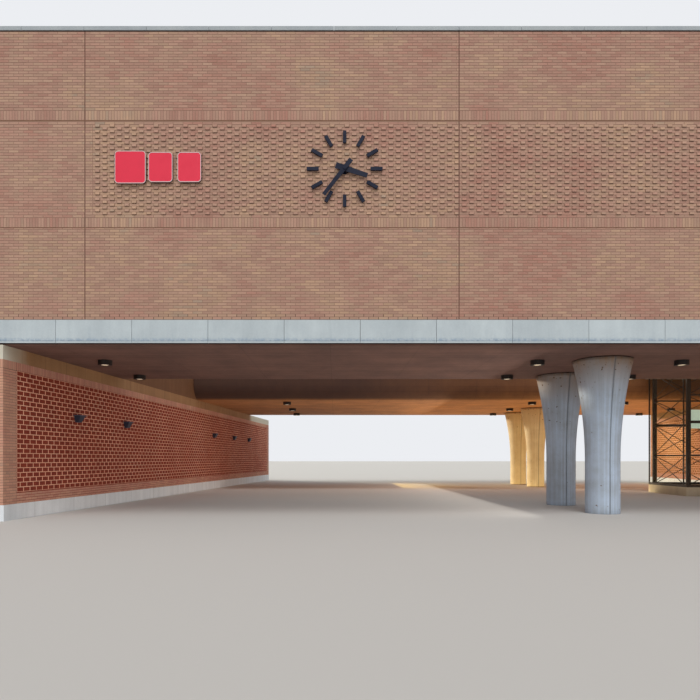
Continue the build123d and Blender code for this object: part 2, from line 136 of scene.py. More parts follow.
class Graph:
    """The node tree of one material or of the sky."""

    def __init__(self, owner: Union[Material, bpy.types.World]) -> None:
        """Start with an empty tree.

        Args:
            owner: the material or the sky that the tree belongs to.
        """
        owner.use_nodes = True
        self.owner = owner
        self.tree = owner.node_tree
        self.tree.nodes.clear()
        self._place: Optional[bpy.types.Node] = None

    def node(self, kind: str, settings: Optional[dict] = None, numbered: Optional[dict] = None,
             **named: object) -> bpy.types.Node:
        """Add a node, set it up and feed its sockets.

        Args:
            kind: the node's type.
            settings: its own properties or a ramp's stops, which are set before its sockets.
            numbered: values or links of its sockets, by their numbers.
            named: the same by their names, with _ for a space.

        Returns:
            The new node.
        """
        made = self.tree.nodes.new(kind)
        for key, value in (settings or {}).items():
            if key == "stops":
                self._set_stops(made.color_ramp, value)
            else:
                setattr(made, key, value)
        for key, value in {**(numbered or {}), **named}.items():
            socket = made.inputs[key.replace("_", " ") if isinstance(key, str) else key]
            if isinstance(value, Signal):
                value = value.socket
            if isinstance(value, Socket):
                self.tree.links.new(value, socket)
            elif isinstance(value, tuple) and socket.type == "RGBA":
                socket.default_value = (*value[:3], 1.0)
            else:
                socket.default_value = value
        return made

    @staticmethod
    def _set_stops(ramp: bpy.types.ColorRamp, stops: Stops) -> None:
        """Give a ramp its stops.

        Args:
            ramp: the ramp.
            stops: positions and colours, from the first to the last.
        """
        while len(ramp.elements) < len(stops):
            ramp.elements.new(1.0)
        for element, (position, colour) in zip(ramp.elements, stops):
            element.position = position
            element.color = (*colour, 1.0)

    def math(self, operation: str, first: object, second: object = 0.0) -> Signal:
        """Add a Math node on one or two values."""
        made = self.node("ShaderNodeMath", {"operation": operation}, {0: first, 1: second})
        return Signal(self, made.outputs[0])

    def place(self) -> Socket:
        """Give the place on the object, in metres, from one node that all share."""
        self._place = self._place or self.node("ShaderNodeTexCoord")
        return self._place.outputs["Object"]

    def axes(self) -> tuple[Signal, Signal, Signal]:
        """Split the place into X, Y and Z."""
        split = self.node("ShaderNodeSeparateXYZ", Vector=self.place())
        return tuple(Signal(self, split.outputs[index]) for index in range(3))

    def stretched(self, x: float, y: float, z: float) -> Socket:
        """Give the place, scaled on each axis, for a pattern that runs one way."""
        return self.node("ShaderNodeMapping", Vector=self.place(), Scale=(x, y, z)).outputs[0]

    def noise(self, scale: float, detail: float = 3.0, where: Optional[Socket] = None,
              roughness: float = 0.5) -> Signal:
        """Give soft noise from 0 to 1, in so many waves a metre."""
        return Signal(self, self.node("ShaderNodeTexNoise", Vector=where or self.place(), Scale=scale,
                                      Detail=detail, Roughness=roughness).outputs["Fac"])

    def random(self, seed: Number) -> Signal:
        """Give one random number from 0 to 1 for each whole number."""
        made = self.node("ShaderNodeTexWhiteNoise", {"noise_dimensions": "1D"}, W=seed)
        return Signal(self, made.outputs["Value"])

    def attribute(self, name: str) -> Signal:
        """Read a number that the mesh carries."""
        return Signal(self, self.node("ShaderNodeAttribute", {"attribute_name": name}).outputs["Fac"])

    def ramp(self, value: Number, stops: Stops) -> Socket:
        """Turn a value into a colour between stops."""
        return self.node("ShaderNodeValToRGB", {"stops": stops}, {0: value}).outputs["Color"]

    def band(self, value: Number, low: float, high: float) -> Signal:
        """Rise from 0 at a low value to 1 at a high one."""
        made = self.node("ShaderNodeMapRange", {"clamp": True}, Value=value, From_Min=low, From_Max=high)
        return Signal(self, made.outputs[0])

    def mix(self, first: object, second: object, share: Number) -> Socket:
        """Blend two colours."""
        return self.node("ShaderNodeMix", {"data_type": "RGBA"}, {0: share, 6: first, 7: second}).outputs[2]

    def shade(self, colour: object, amount: Number) -> Socket:
        """Multiply a colour by an amount of light."""
        return self.node("ShaderNodeVectorMath", {"operation": "SCALE"}, {0: colour, 3: amount}).outputs[0]

    def bump(self, height: Number, strength: float, distance: float) -> Socket:
        """Tilt the surface by a height, given in metres."""
        return self.node("ShaderNodeBump", Height=height, Strength=strength, Distance=distance).outputs[0]


class Finish:
    """What all finishes share: a name, and a surface that one Principled shader closes."""

    name: str

    def surface(self, graph: Graph) -> dict:
        """Give the shader's sockets."""
        raise NotImplementedError

    def material(self) -> Material:
        """Make the material."""
        graph = Graph(bpy.data.materials.new(self.name))
        shader = graph.node("ShaderNodeBsdfPrincipled", **self.surface(graph))
        graph.node("ShaderNodeOutputMaterial", Surface=shader.outputs[0])
        return graph.owner


@dataclass(frozen=True)
class BrickFinish(Finish):
    """Fired clay bricks that differ one by one, from the tone and light that each carries.

    patch is the share of its tone that a brick has in common with its neighbours, and shaded_share the share
    of its colour left where painted shade is darkest, on its underside.
    """

    name: str = "fired_brick"
    stops: Stops = (
        (0.0, linear(168, 121, 106)),
        (0.3, linear(172, 132, 116)),
        (0.6, linear(174, 140, 121)),
        (0.85, linear(182, 148, 123)),
        (1.0, linear(163, 140, 122)),
    )
    patch: float = 0.56
    patch_scale: float = 0.55
    grain_scale: float = 55.0
    pit_scale: float = 240.0
    least_light: float = 0.755
    shaded_share: float = 0.16
    shadow: Colour = linear(54, 28, 17)

    def surface(self, graph: Graph) -> dict:
        """Give the shader's sockets."""
        patches = graph.band(graph.noise(self.patch_scale), 0.35, 0.65)
        tone = graph.attribute("tone") * (1 - self.patch) + patches * self.patch
        grain = graph.noise(self.grain_scale, 4.0, roughness=0.65)
        # light is each brick's random brightness and, on projecting headers, a painted highlight.
        light = graph.attribute("light") * 0.18 + grain * 0.26 + self.least_light
        # Painted shade: depth darkens the undersides and the lower back corners towards the shadow colour.
        unshaded = graph.attribute("depth") * (1 - self.shaded_share) + self.shaded_share
        colour = graph.mix(self.shadow, graph.shade(graph.ramp(tone, self.stops), light), unshaded)
        height = grain * 0.7 + graph.noise(self.pit_scale) * 0.3
        return dict(Base_Color=colour, Roughness=0.9, Normal=graph.bump(height, 0.35, 0.003))


@dataclass(frozen=True)
class MortarFinish(Finish):
    """Sandy mortar between the bricks, a little darker in damp patches."""

    name: str = "mortar"
    pale: Colour = linear(153, 121, 102)
    dark: Colour = linear(126, 98, 81)
    sand_scale: float = 180.0
    damp_scale: float = 1.4

    def surface(self, graph: Graph) -> dict:
        """Give the shader's sockets."""
        sand = graph.noise(self.sand_scale)
        colour = graph.mix(self.dark, self.pale, graph.noise(self.damp_scale) * 0.6 + sand * 0.5)
        return dict(Base_Color=colour, Roughness=0.95, Normal=graph.bump(sand, 0.4, 0.002))


@dataclass(frozen=True)
class JointRow:
    """A row of joints across one axis: where the first lies, how far apart they are, how wide."""

    axis: int
    first: float
    pitch: float
    width: float = 0.008

    def mask(self, graph: Graph) -> Signal:
        """Work out where the joints are.

        Args:
            graph: the material's node tree.

        Returns:
            1 in the joints and 0 between them.
        """
        step = (graph.axes()[self.axis] - self.first) / self.pitch
        share = self.width / self.pitch
        return 1 - graph.band(0.5 - (step.fraction() - 0.5).size(), share / 2, share)


@dataclass(frozen=True)
class ConcreteFinish(Finish):
    """Cast concrete with clouds, pores, water streaks, panel joints and the marks of its formwork.

    boards is the width of a board, or 0 for smooth formwork, and across says which axis the boards
    follow one another along: 0, 1 or 2 for X, Y or Z. joints are the joints between its panels.
    """

    name: str
    pale: Colour
    dark: Colour
    boards: float = 0.0
    across: int = 1
    board_contrast: float = 0.12
    streaks: float = 0.25
    pores: float = 0.12
    joints: tuple[JointRow, ...] = ()
    joint_shade: float = 0.45
    roughness: float = 0.82
    cloud_scale: float = 0.8
    fine_scale: float = 30.0
    pore_scale: float = 70.0

    def cast(self, graph: Graph) -> tuple[Socket, Signal]:
        """Work out the surface as it leaves the formwork.

        Args:
            graph: the material's node tree.

        Returns:
            Its colour and its height.
        """
        clouds = graph.noise(self.cloud_scale, 4.0, roughness=0.6)
        fine = graph.noise(self.fine_scale)
        runs = graph.noise(1.0, where=graph.stretched(4.5, 4.5, 0.35))
        share = clouds * (1 - self.streaks) + runs * self.streaks + (fine - 0.5) * 0.25
        height = fine * 0.4
        if self.boards:
            step = graph.axes()[self.across] / self.boards
            board = graph.random(step.floor())
            edge = graph.band((step.fraction() - 0.5).size(), 0.46, 0.5)
            stretch = [14.0 if axis == self.across else 0.6 for axis in range(3)]
            grain = graph.noise(3.0, where=graph.stretched(*stretch))
            marks = (board - 0.5) * 4 - edge * 2 + (grain - 0.5) * 3
            share = share + marks * self.board_contrast
            height = height + board * 0.5 - edge * 0.8 + grain * 0.3
        colour = graph.mix(self.dark, self.pale, graph.band(share, 0.22, 0.78))
        pore = graph.band(graph.noise(self.pore_scale, 1.0), 0.24, 0.3)
        light = pore * self.pores + (1 - self.pores)
        for row in self.joints:
            joint = row.mask(graph)
            light = light * (1 - joint * self.joint_shade)
            height = height - joint * 1.5
        return graph.shade(colour, light), height + pore * 0.3

    def surface(self, graph: Graph) -> dict:
        """Give the shader's sockets."""
        colour, height = self.cast(graph)
        return dict(Base_Color=colour, Roughness=self.roughness, Normal=graph.bump(height, 0.3, 0.004))


@dataclass(frozen=True)
class BandFinish(ConcreteFinish):
    """Precast concrete of the fascia: each piece has its own tone, and dirt speckles its lower edge."""

    roughness: float = 0.8
    bottom: float = 0.0
    first_joint: float = 0.0
    pitch: float = 1.0
    lip: float = 0.045
    stain_height: float = 0.11
    run_height: float = 0.45
    stain: Colour = linear(142, 160, 178)
    # under is painted shade, the dark colour of the fascia's underside.
    under: Colour = linear(58, 48, 46)

    def cast(self, graph: Graph) -> tuple[Socket, Signal]:
        """Work out the stained surface.

        Args:
            graph: the material's node tree.

        Returns:
            Its colour and its height.
        """
        colour, height = super().cast(graph)
        x, _, z = graph.axes()
        piece = graph.random(((x - self.first_joint) / self.pitch).floor())
        colour = graph.shade(colour, piece * 0.07 + 0.97)
        low = self.bottom + self.lip
        edge = graph.band(z, low, low + 0.012) * (1 - graph.band(z, low + 0.05, low + self.stain_height))
        speckle = graph.band(graph.noise(16.0, 4.0, roughness=0.7), 0.4, 0.62)
        runs = graph.band(graph.noise(1.0, 4.0, graph.stretched(9.0, 9.0, 1.2), 0.7), 0.5, 0.8)
        washed = 1 - graph.band(z, low, low + self.run_height)
        colour = graph.mix(colour, self.stain, edge * (speckle * 0.75 + 0.15))
        colour = graph.mix(colour, self.stain, runs * washed * 0.4)
        # Painted shade: below its bottom edge the fascia takes the under colour.
        return graph.mix(self.under, colour, z > self.bottom + 0.002), height


@dataclass(frozen=True)
class HeadBandFinish(ConcreteFinish):
    """Cast head bands: pale in the open from painted daylight and washing, dusty and brown under the decks.

    front is the Y of the open front, and open_from the Y behind which they lie open again.
    """

    front: float = 0.0
    open_from: float = 0.0
    reach: float = 1.0
    # washed is the pale of painted daylight and washing where the bands lie open.
    washed: Colour = linear(208, 206, 192)

    def cast(self, graph: Graph) -> tuple[Socket, Signal]:
        """Work out the washed surface.

        Args:
            graph: the material's node tree.

        Returns:
            Its colour and its height.
        """
        colour, height = super().cast(graph)
        y = graph.axes()[1]
        clouds = graph.noise(3.0, 4.0)
        # Painted daylight: the bands turn pale where they lie open, in front and behind the rear deck.
        painted_daylight = 1 - graph.band(y + clouds * 0.4, self.front + 0.2, self.front + 0.3 + self.reach)
        painted_daylight = painted_daylight + graph.band(y, self.open_from - 0.1, self.open_from + 0.6)
        return graph.mix(colour, self.washed, painted_daylight * 0.85), height


@dataclass(frozen=True)
class DeckFinish(ConcreteFinish):
    """Concrete of a deck: board-marked soffit, plain greyer top, ends and back, rolled nose in painted shade.

    rim is the finish of its top, ends and back, and low and high are its corners.
    """

    roughness: float = 0.85
    rim: Optional[ConcreteFinish] = None
    low: Optional[Array] = None
    high: Optional[Array] = None
    nose_depth: float = 0.0
    skin: float = 0.006
    # nose is the colour of the painted shade on the rolled nose.
    nose: Colour = linear(50, 38, 41)

    def cast(self, graph: Graph) -> tuple[Socket, Signal]:
        """Work out the surface of all sides.

        Args:
            graph: the material's node tree.

        Returns:
            Its colour and its height.
        """
        below, height = super().cast(graph)
        beside, _ = self.rim.cast(graph)
        x, y, z = graph.axes()
        if self.nose_depth:
            start, depth = self.low[1], self.nose_depth
            # Painted shade on the rolled nose, lighter towards the right.
            painted_nose_shade = 1 - graph.band(y, start + depth * 0.55, start + depth * 1.02)
            below = graph.mix(below, self.nose, painted_nose_shade * (0.9 - graph.band(x, -2.0, 9.0) * 0.4))
        outer = (z > self.high[2] - self.skin) + (y > self.high[1] - self.skin)
        outer = outer + (x.size() > self.high[0] - self.skin)
        return graph.mix(below, beside, outer), height


@dataclass(frozen=True)
class ColumnFinish(Finish):
    """Fair-faced concrete of a pair of columns: faint boards up the shaft, clouds, pores, tie holes.

    centre_x and the two centre_y give the axes, which tell the boards apart by their direction. Near the
    deck the colour turns warmer and darker as painted shade and warm light from the soffit, and the gap
    at the deck is painted dark as shade.
    """

    name: str
    centre_x: float
    centre_y: tuple[float, float]
    soffit: float
    boards: int = 60
    gap_height: float = 0.026
    seam_width: tuple[float, float] = (0.009, 0.013)
    # warm is painted shade and warm light from the soffit near the deck; gap is painted shade in the gap.
    cool: Colour = linear(188, 204, 224)
    warm: Colour = linear(150, 120, 92)
    dark: Colour = linear(146, 148, 150)
    gap: Colour = linear(44, 34, 30)
    seam: Colour = linear(84, 86, 92)
    rust: Colour = linear(104, 78, 60)

    def surface(self, graph: Graph) -> dict:
        """Give the shader's sockets."""
        x, y, z = graph.axes()
        near, far = self.centre_y
        own_y = y - near - (y > (near + far) / 2) * (far - near)
        turn = graph.math("ARCTAN2", own_y, x - self.centre_x) / (2 * math.pi) * self.boards
        board = graph.random((turn + 0.5).floor())
        edge = graph.band(((turn + 0.5).fraction() - 0.5).size(), 0.46, 0.5)
        runs = graph.noise(1.0, 4.0, graph.stretched(6.0, 6.0, 0.4), 0.6)
        clouds = graph.noise(1.6, 5.0, roughness=0.6)
        highlight_lifts = graph.noise(1.0, 2.0, graph.stretched(0.3, 0.3, 3.0))
        share = board * 0.14 + runs * 0.35 + clouds * 0.55 + highlight_lifts * 0.15 - edge * 0.22
        # Painted shade and warm light from the soffit: warmer and darker towards the deck.
        top = graph.band(z + clouds * 0.6, self.soffit - 0.85, self.soffit + 0.25)
        pale = graph.mix(self.cool, self.warm, top)
        colour = graph.mix(self.dark, pale, graph.band(share, 0.2, 0.75))
        pore = graph.band(graph.noise(30.0, 1.0), 0.25, 0.31)
        high = graph.band(z, self.soffit - 1.6, self.soffit)
        spots = graph.band(graph.noise(11.0, 1.0) - high * 0.09, 0.19, 0.23)
        colour = graph.mix(self.rust, graph.shade(colour, pore * 0.2 + 0.8), spots)
        seam = 1 - graph.band((x - self.centre_x).size(), *self.seam_width)
        colour = graph.mix(colour, self.seam, seam * 0.6)
        # Painted shade in the recessed gap at the deck.
        colour = graph.mix(colour, self.gap, z > self.soffit - self.gap_height)
        height = board * 0.2 - edge * 0.5 + graph.noise(30.0) * 0.3 + pore * 0.4 + spots * 0.4
        return dict(Base_Color=colour, Roughness=0.78, Normal=graph.bump(height, 0.3, 0.004))


@dataclass(frozen=True)
class PerforatedFinish(Finish):
    """The recessed dark faces of the perforated bricks, with rows of small round holes.

    along is the direction of the wall in plan and start the foot of its first brick.
    """

    name: str
    along: tuple[float, float]
    start: Triple
    hole_pitch: float = 0.026
    hole_radius: float = 0.0075
    tone_length: float = 0.145
    tone_height: float = 0.1335
    pale: Colour = linear(176, 69, 42)
    dark: Colour = linear(141, 48, 30)
    hole: Colour = linear(70, 22, 13)

    def surface(self, graph: Graph) -> dict:
        """Give the shader's sockets."""
        x, y, z = graph.axes()
        u = (x - self.start[0]) * self.along[0] + (y - self.start[1]) * self.along[1]
        v = z - self.start[2]
        du = (u / self.hole_pitch).fraction() - 0.5
        dv = (v / self.hole_pitch).fraction() - 0.5
        reach = graph.math("SQRT", du * du + dv * dv)
        rim = self.hole_radius / self.hole_pitch
        solid = graph.band(reach, rim, rim + 0.08)
        brick = graph.random((u / self.tone_length).floor() + (v / self.tone_height).floor() * 57.0)
        clay = graph.mix(self.dark, self.pale, brick * 0.5 + graph.noise(24.0) * 0.5)
        colour = graph.mix(self.hole, clay, solid)
        return dict(Base_Color=colour, Roughness=0.9, Normal=graph.bump(solid, 0.6, 0.006))


@dataclass(frozen=True)
class PaintFinish(Finish):
    """Painted or enamelled metal, with orange peel and faint dust on it."""

    name: str
    colour: Colour
    dust_share: float = 0.12
    roughness: float = 0.42
    gloss: float = 0.5
    dust: Colour = linear(120, 112, 104)

    def surface(self, graph: Graph) -> dict:
        """Give the shader's sockets."""
        dirt = graph.band(graph.noise(3.0, 4.0), 0.45, 0.8)
        colour = graph.mix(self.colour, self.dust, dirt * self.dust_share)
        return dict(Base_Color=colour, Roughness=dirt * 0.25 + self.roughness, Specular_IOR_Level=self.gloss,
                    Normal=graph.bump(graph.noise(160.0, 2.0), 0.08, 0.001))


@dataclass(frozen=True)
class TileFinish(Finish):
    """Enamelled tiles with a bright front and edges painted dark as shade. front is the Y of their front
    faces.
    """

    name: str
    front: float
    face: Colour = linear(222, 38, 68)
    # edge is the painted shade of the sides, and the colour of dirt on the front.
    edge: Colour = linear(74, 56, 58)

    def surface(self, graph: Graph) -> dict:
        """Give the shader's sockets."""
        dirt = graph.band(graph.noise(4.0, 4.0), 0.45, 0.85)
        # Painted shade: the sides behind the front face take the dark edge colour.
        behind = graph.band(graph.axes()[1], self.front + 0.001, self.front + 0.003)
        colour = graph.mix(graph.mix(self.face, self.edge, dirt * 0.06), self.edge, behind)
        return dict(Base_Color=colour, Roughness=dirt * 0.2 + 0.4, Specular_IOR_Level=0.3,
                    Normal=graph.bump(graph.noise(120.0, 2.0), 0.06, 0.001))


@dataclass(frozen=True)
class GlassFinish(Finish):
    """Sheet glass with a faint film of dust: clear, or frosted where alpha is high; glow is painted light."""

    name: str
    colour: Colour
    alpha: float
    roughness: float
    glow: float = 0.0

    def surface(self, graph: Graph) -> dict:
        """Give the shader's sockets."""
        film = graph.noise(1.2, 4.0, graph.stretched(2.0, 2.0, 0.5))
        # Emission is painted light: the glass glows by its glow, though it is no lamp.
        return dict(Base_Color=self.colour, Roughness=film * 0.06 + self.roughness,
                    Alpha=graph.band(film, 0.3, 0.9) * 0.06 + self.alpha, Specular_IOR_Level=0.6,
                    Emission_Color=graph.shade(self.colour, film * 0.5 + 0.75), Emission_Strength=self.glow)


@dataclass(frozen=True)
class LensFinish(Finish):
    """Opal lamp glass that glows a little."""

    name: str
    colour: Colour
    glow: float

    def surface(self, graph: Graph) -> dict:
        """Give the shader's sockets."""
        colour = graph.shade(self.colour, graph.noise(14.0, 2.0) * 0.2 + 0.88)
        return dict(Base_Color=colour, Roughness=0.35, Emission_Color=colour, Emission_Strength=self.glow)


@dataclass(frozen=True)
class FloorFinish(Finish):
    """Plain matt floor of the studio."""

    name: str = "studio_floor"
    colour: Colour = linear(206, 204, 200)

    def surface(self, graph: Graph) -> dict:
        """Give the shader's sockets."""
        return dict(Base_Color=self.colour, Roughness=0.9)


BOX_CORNERS = np.array([[a, b, c] for a in (0, 1) for b in (0, 1) for c in (0, 1)])
BOX_QUADS = np.array([[0, 1, 3, 2], [4, 6, 7, 5], [0, 4, 5, 1], [2, 3, 7, 6], [0, 2, 6, 4], [1, 5, 7, 3]])


@dataclass(frozen=True)
class Wall:
    """One upright face of a wall: its foot, a direction along it, one out of it, and its length.

    Its along, up and out turn like X, Z and minus Y.
    """

    foot: Triple
    along: tuple[float, float]
    out: tuple[float, float]
    run: float

    def place(self, u: Array, v: Array, w: Array) -> Array:
        """Turn distances along, up and out of the face into places.

        Args:
            u: distances along the face.
            v: levels above its foot.
            w: distances out of it.

        Returns:
            An array of places, one row for each distance.
        """
        x = self.foot[0] + u * self.along[0] + w * self.out[0]
        y = self.foot[1] + u * self.along[1] + w * self.out[1]
        return np.stack((x, y, self.foot[2] + v), axis=-1)

    def boxes(self, rows: Array) -> tuple[Array, Array]:
        """Work out closed boxes on the face.

        Each box is the eight choices of a low or a high value along, up and out, joined by six quads
        that look outwards.

        Args:
            rows: for each box its ends along the wall, its levels and its distances out, low then high.

        Returns:
            The places and the faces.
        """
        picked = np.where(BOX_CORNERS[None] == 0, rows[:, None, 0::2], rows[:, None, 1::2])
        places = self.place(picked[..., 0], picked[..., 1], picked[..., 2])
        faces = BOX_QUADS[None] + 8 * np.arange(len(rows))[:, None, None]
        return places.reshape(-1, 3), faces.reshape(-1, 4)

    def sheets(self, rows: Array, out: float) -> tuple[Array, Array]:
        """Work out flat rectangles parallel to the face.

        Args:
            rows: for each rectangle its left, right, bottom and top.
            out: how far out of the face they lie.

        Returns:
            The places and the faces.
        """
        u = rows[:, [0, 1, 1, 0]]
        places = self.place(u, rows[:, [2, 2, 3, 3]], np.full(u.shape, out)).reshape(-1, 3)
        return places, np.arange(len(places)).reshape(-1, 4)


class Side(Enum):
    """The sides of the building, named as the camera in front of it sees them."""

    FRONT = "front"
    BACK = "back"
    LEFT = "left"
    RIGHT = "right"

    def wall(self, low: Array, high: Array) -> Wall:
        """Give this side of an upright box, seen from outside.

        Args:
            low: the box's lowest corner.
            high: its highest corner.

        Returns:
            The face, whose foot is at ground level.
        """
        if self is Side.FRONT:
            return Wall((low[0], low[1], 0.0), (1, 0), (0, -1), high[0] - low[0])
        if self is Side.BACK:
            return Wall((high[0], high[1], 0.0), (-1, 0), (0, 1), high[0] - low[0])
        if self is Side.LEFT:
            return Wall((low[0], high[1], 0.0), (0, -1), (-1, 0), high[1] - low[1])
        return Wall((high[0], low[1], 0.0), (0, 1), (1, 0), high[1] - low[1])

    def across(self) -> bool:
        """Tell whether this is one of the two sides that run from left to right."""
        return self in (Side.FRONT, Side.BACK)

    def road_line(self) -> float:
        """Give the X where the face of this side's road wall, drawn on through the pier, meets the front."""
        start = corners(f"{self.value}_road_brick")[0][0] + (BRICK_LEAF if self is Side.LEFT else 0.0)
        return start - ROAD_SKEW * PIER_DEPTH

    def road_wall(self) -> Wall:
        """Work out the face of the road wall on this side, seen from the road.

        Returns:
            The face, drawn on to the front. It runs from front to back on the left, and back on the right.
        """
        along = np.array([ROAD_SKEW, 1.0]) / math.hypot(ROAD_SKEW, 1.0)
        front = corners("base_front_walls")[0][1]
        end = corners(f"{self.value}_road_brick")[1][1]
        run = (end - front) / along[1]
        if self is Side.LEFT:
            return Wall((self.road_line(), front, 0.0), tuple(along), (along[1], -along[0]), run)
        foot = (self.road_line() + ROAD_SKEW * (end - front), end, 0.0)
        return Wall(foot, tuple(-along), (-along[1], along[0]), run)


def put(name: str, data: bpy.types.ID, place: Triple = (0.0, 0.0, 0.0),
        turn: Triple = (0.0, 0.0, 0.0)) -> bpy.types.Object:
    """Put an object into the scene.

    Args:
        name: its name.
        data: its mesh, light or camera.
        place: where it stands.
        turn: its rotation.

    Returns:
        The new object.
    """
    made = bpy.data.objects.new(name, data)
    made.location = place
    made.rotation_euler = turn
    bpy.context.scene.collection.objects.link(made)
    return made


def new_piece(name: str, places: Array, faces: Faces, material: Material, slot: str,
              smooth: Union[bool, Array] = False) -> bpy.types.Object:
    """Make a piece of the building from places and faces.

    Args:
        name: the piece's name.
        places: one row for each vertex.
        faces: one row of vertex numbers for each face, or several such arrays with different counts.
        material: its material.
        slot: the name of a material slot; not used.
        smooth: whether its faces are shaded as one surface, for all or face by face.

    Returns:
        The new object, whose place is in its mesh.
    """
    mesh = bpy.data.meshes.new(name)
    lots = [faces] if isinstance(faces, np.ndarray) else list(faces)
    sides = np.concatenate([np.full(len(lot), lot.shape[1]) for lot in lots])
    count = len(sides)
    mesh.vertices.add(len(places))
    mesh.vertices.foreach_set("co", places.astype(np.float32).ravel())
    mesh.loops.add(int(sides.sum()))
    mesh.loops.foreach_set("vertex_index", np.concatenate([lot.ravel() for lot in lots]).astype(np.int32))
    mesh.polygons.add(count)
    mesh.polygons.foreach_set("loop_start", (np.cumsum(sides) - sides).astype(np.int32))
    mesh.polygons.foreach_set("use_smooth", np.broadcast_to(np.asarray(smooth), (count,)).copy())
    mesh.update(calc_edges=True)
    mesh.materials.append(material)
    made = put(name, mesh)
    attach(made, BUILDING)
    LOG.info("%s: %d faces", name, count)
    return made


def dress(material: Material, *nodes: str) -> None:
    """Give the objects of CAD nodes a material of their own.

    Args:
        material: the material.
        nodes: the nodes' names.
    """
    for node in nodes:
        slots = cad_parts[node].data.materials
        slots.clear()
        slots.append(material)
        LOG.info("%s: %s", node, material.name)


def grid_faces(rows: int, columns: int) -> Array:
    """Number the quads of a grid of places whose last column joins the first.

    Args:
        rows: how many rows of places there are.
        columns: how many places a row has.

    Returns:
        One row of four vertex numbers for each quad.
    """
    row, column = np.meshgrid(np.arange(rows - 1), np.arange(columns), indexing="ij")
    first = row * columns + column
    second = row * columns + (column + 1) % columns
    return np.stack((first, second, second + columns, first + columns), axis=-1).reshape(-1, 4)


def rods(ends: Array, radius: float, sides: int = 8) -> tuple[Array, tuple[Array, Array]]:
    """Work out straight round rods.

    Around each end lies a circle in the plane across the rod: two directions square to the rod,
    times the cosine and the sine of an angle that goes once round.

    Args:
        ends: for each rod the two end places.
        radius: the rods' radius.
        sides: how many flats stand for the circle.

    Returns:
        The places, the quads of the tubes and the many-sided faces of their ends.
    """
    run = ends[:, 1] - ends[:, 0]
    run = run / np.linalg.norm(run, axis=1, keepdims=True)
    helper = np.where(np.abs(run[:, 2:3]) > 0.9, np.array([[1.0, 0, 0]]), np.array([[0, 0, 1.0]]))
    across = np.cross(run, helper)
    across /= np.linalg.norm(across, axis=1, keepdims=True)
    other = np.cross(run, across)
    turn = (np.arange(sides) / sides * 2 * math.pi)[None, :, None]
    circle = radius * (np.cos(turn) * across[:, None] + np.sin(turn) * other[:, None])
    places = ends[:, :, None, :] + circle[:, None]
    start = 2 * sides * np.arange(len(ends))[:, None, None]
    faces = grid_faces(2, sides)[None] + start
    caps = np.stack((np.arange(sides)[::-1], sides + np.arange(sides)))[None] + start
    return places.reshape(-1, 3), (faces.reshape(-1, 4), caps.reshape(-1, sides))


class Bond(Enum):
    """The ways in which the bricks of a field are laid."""

    STRETCHER = "stretcher"
    SOLDIER = "soldier"
    RELIEF = "relief"


@dataclass
class BrickField:
    """A rectangle of brickwork on a wall, laid in one bond.

    left, right, bottom and top are measured on the wall. Each brick is a shallow block on the mortar,
    whose arrises are drawn in a little, and carries its own random tone and light. In the relief,
    headers stand out between the stretchers: lap is how far they cover the joints beside them, splay
    how far their cheeks slant, and header_highlight the painted highlight that their colour carries.
    """

    wall: Wall
    left: float
    right: float
    bottom: float
    top: float
    bond: Bond = Bond.STRETCHER
    header: float = 0.12
    soldier_pitch: float = 0.077
    proud: float = 0.003
    relief: float = 0.024
    lap: float = 0.004
    splay: float = 0.008
    header_highlight: float = 0.7
    arris: float = 0.002
    smallest: float = 0.018

    def bricks(self) -> tuple[Array, Array]:
        """Lay the bricks.

        A grid of courses and places is worked out at once: a place along the course is its number
        times the pitch, plus a shift on every second course, cut off at the field's edges.

        Returns:
            Rows of left, right, bottom and top, and how far each brick stands out.
        """
        if self.bond is Bond.SOLDIER:
            count = int(round((self.right - self.left) / self.soldier_pitch))
            pitch = (self.right - self.left) / max(count, 1)
            start = self.left + np.arange(count) * pitch
            rows = np.stack((start + MORTAR_JOINT / 2, start + pitch - MORTAR_JOINT / 2,
                             np.full(count, self.bottom), np.full(count, self.top)), axis=1)
            return rows, np.full(count, self.proud)
        course = BRICK_HEIGHT + MORTAR_JOINT
        long = BRICK_LENGTH + MORTAR_JOINT
        pitch = long + self.header + MORTAR_JOINT if self.bond is Bond.RELIEF else long
        count_up = int(math.ceil((self.top - self.bottom) / course))
        count_along = int(math.ceil((self.right - self.left) / pitch)) + 2
        up, along = np.meshgrid(np.arange(count_up), np.arange(-1, count_along), indexing="ij")
        start = self.left + along * pitch - (up % 2) * pitch / 2
        low = self.bottom + up * course
        lots = [(start, BRICK_LENGTH, self.proud)]
        if self.bond is Bond.RELIEF:
            lots.append((start + long - self.lap, self.header + 2 * self.lap, self.proud + self.relief))
        rows, out = [], []
        for begin, size, stand in lots:
            left = np.maximum(begin, self.left)
            right = np.minimum(begin + size, self.right)
            high = np.minimum(low + BRICK_HEIGHT, self.top)
            keep = (right - left > self.smallest) & (high - low > self.smallest)
            rows.append(np.stack((left[keep], right[keep], low[keep], high[keep]), axis=1))
            out.append(np.full(int(keep.sum()), stand))
        return np.concatenate(rows), np.concatenate(out)


def add_draws(piece: bpy.types.Object, draw: np.random.Generator, lift: Array,
              depth: Sequence[float]) -> None:
    """Give each of a piece's parts a random tone and light, which all its vertices carry.

    Args:
        piece: the piece.
        draw: the random generator.
        lift: for each part the painted highlight that it has beyond its random light.
        depth: for each vertex of one part 1 where it is unshaded and 0 where painted shade is darkest.
    """
    count = len(lift)
    values = {key: np.repeat(draw.random(count), len(depth)) for key in ("tone", "light")}
    values["light"] += np.repeat(lift, len(depth))
    values["depth"] = np.tile(np.asarray(depth), count)
    for key, value in values.items():
        layer = piece.data.attributes.new(key, "FLOAT", "POINT")
        layer.data.foreach_set("value", value.astype(np.float32))


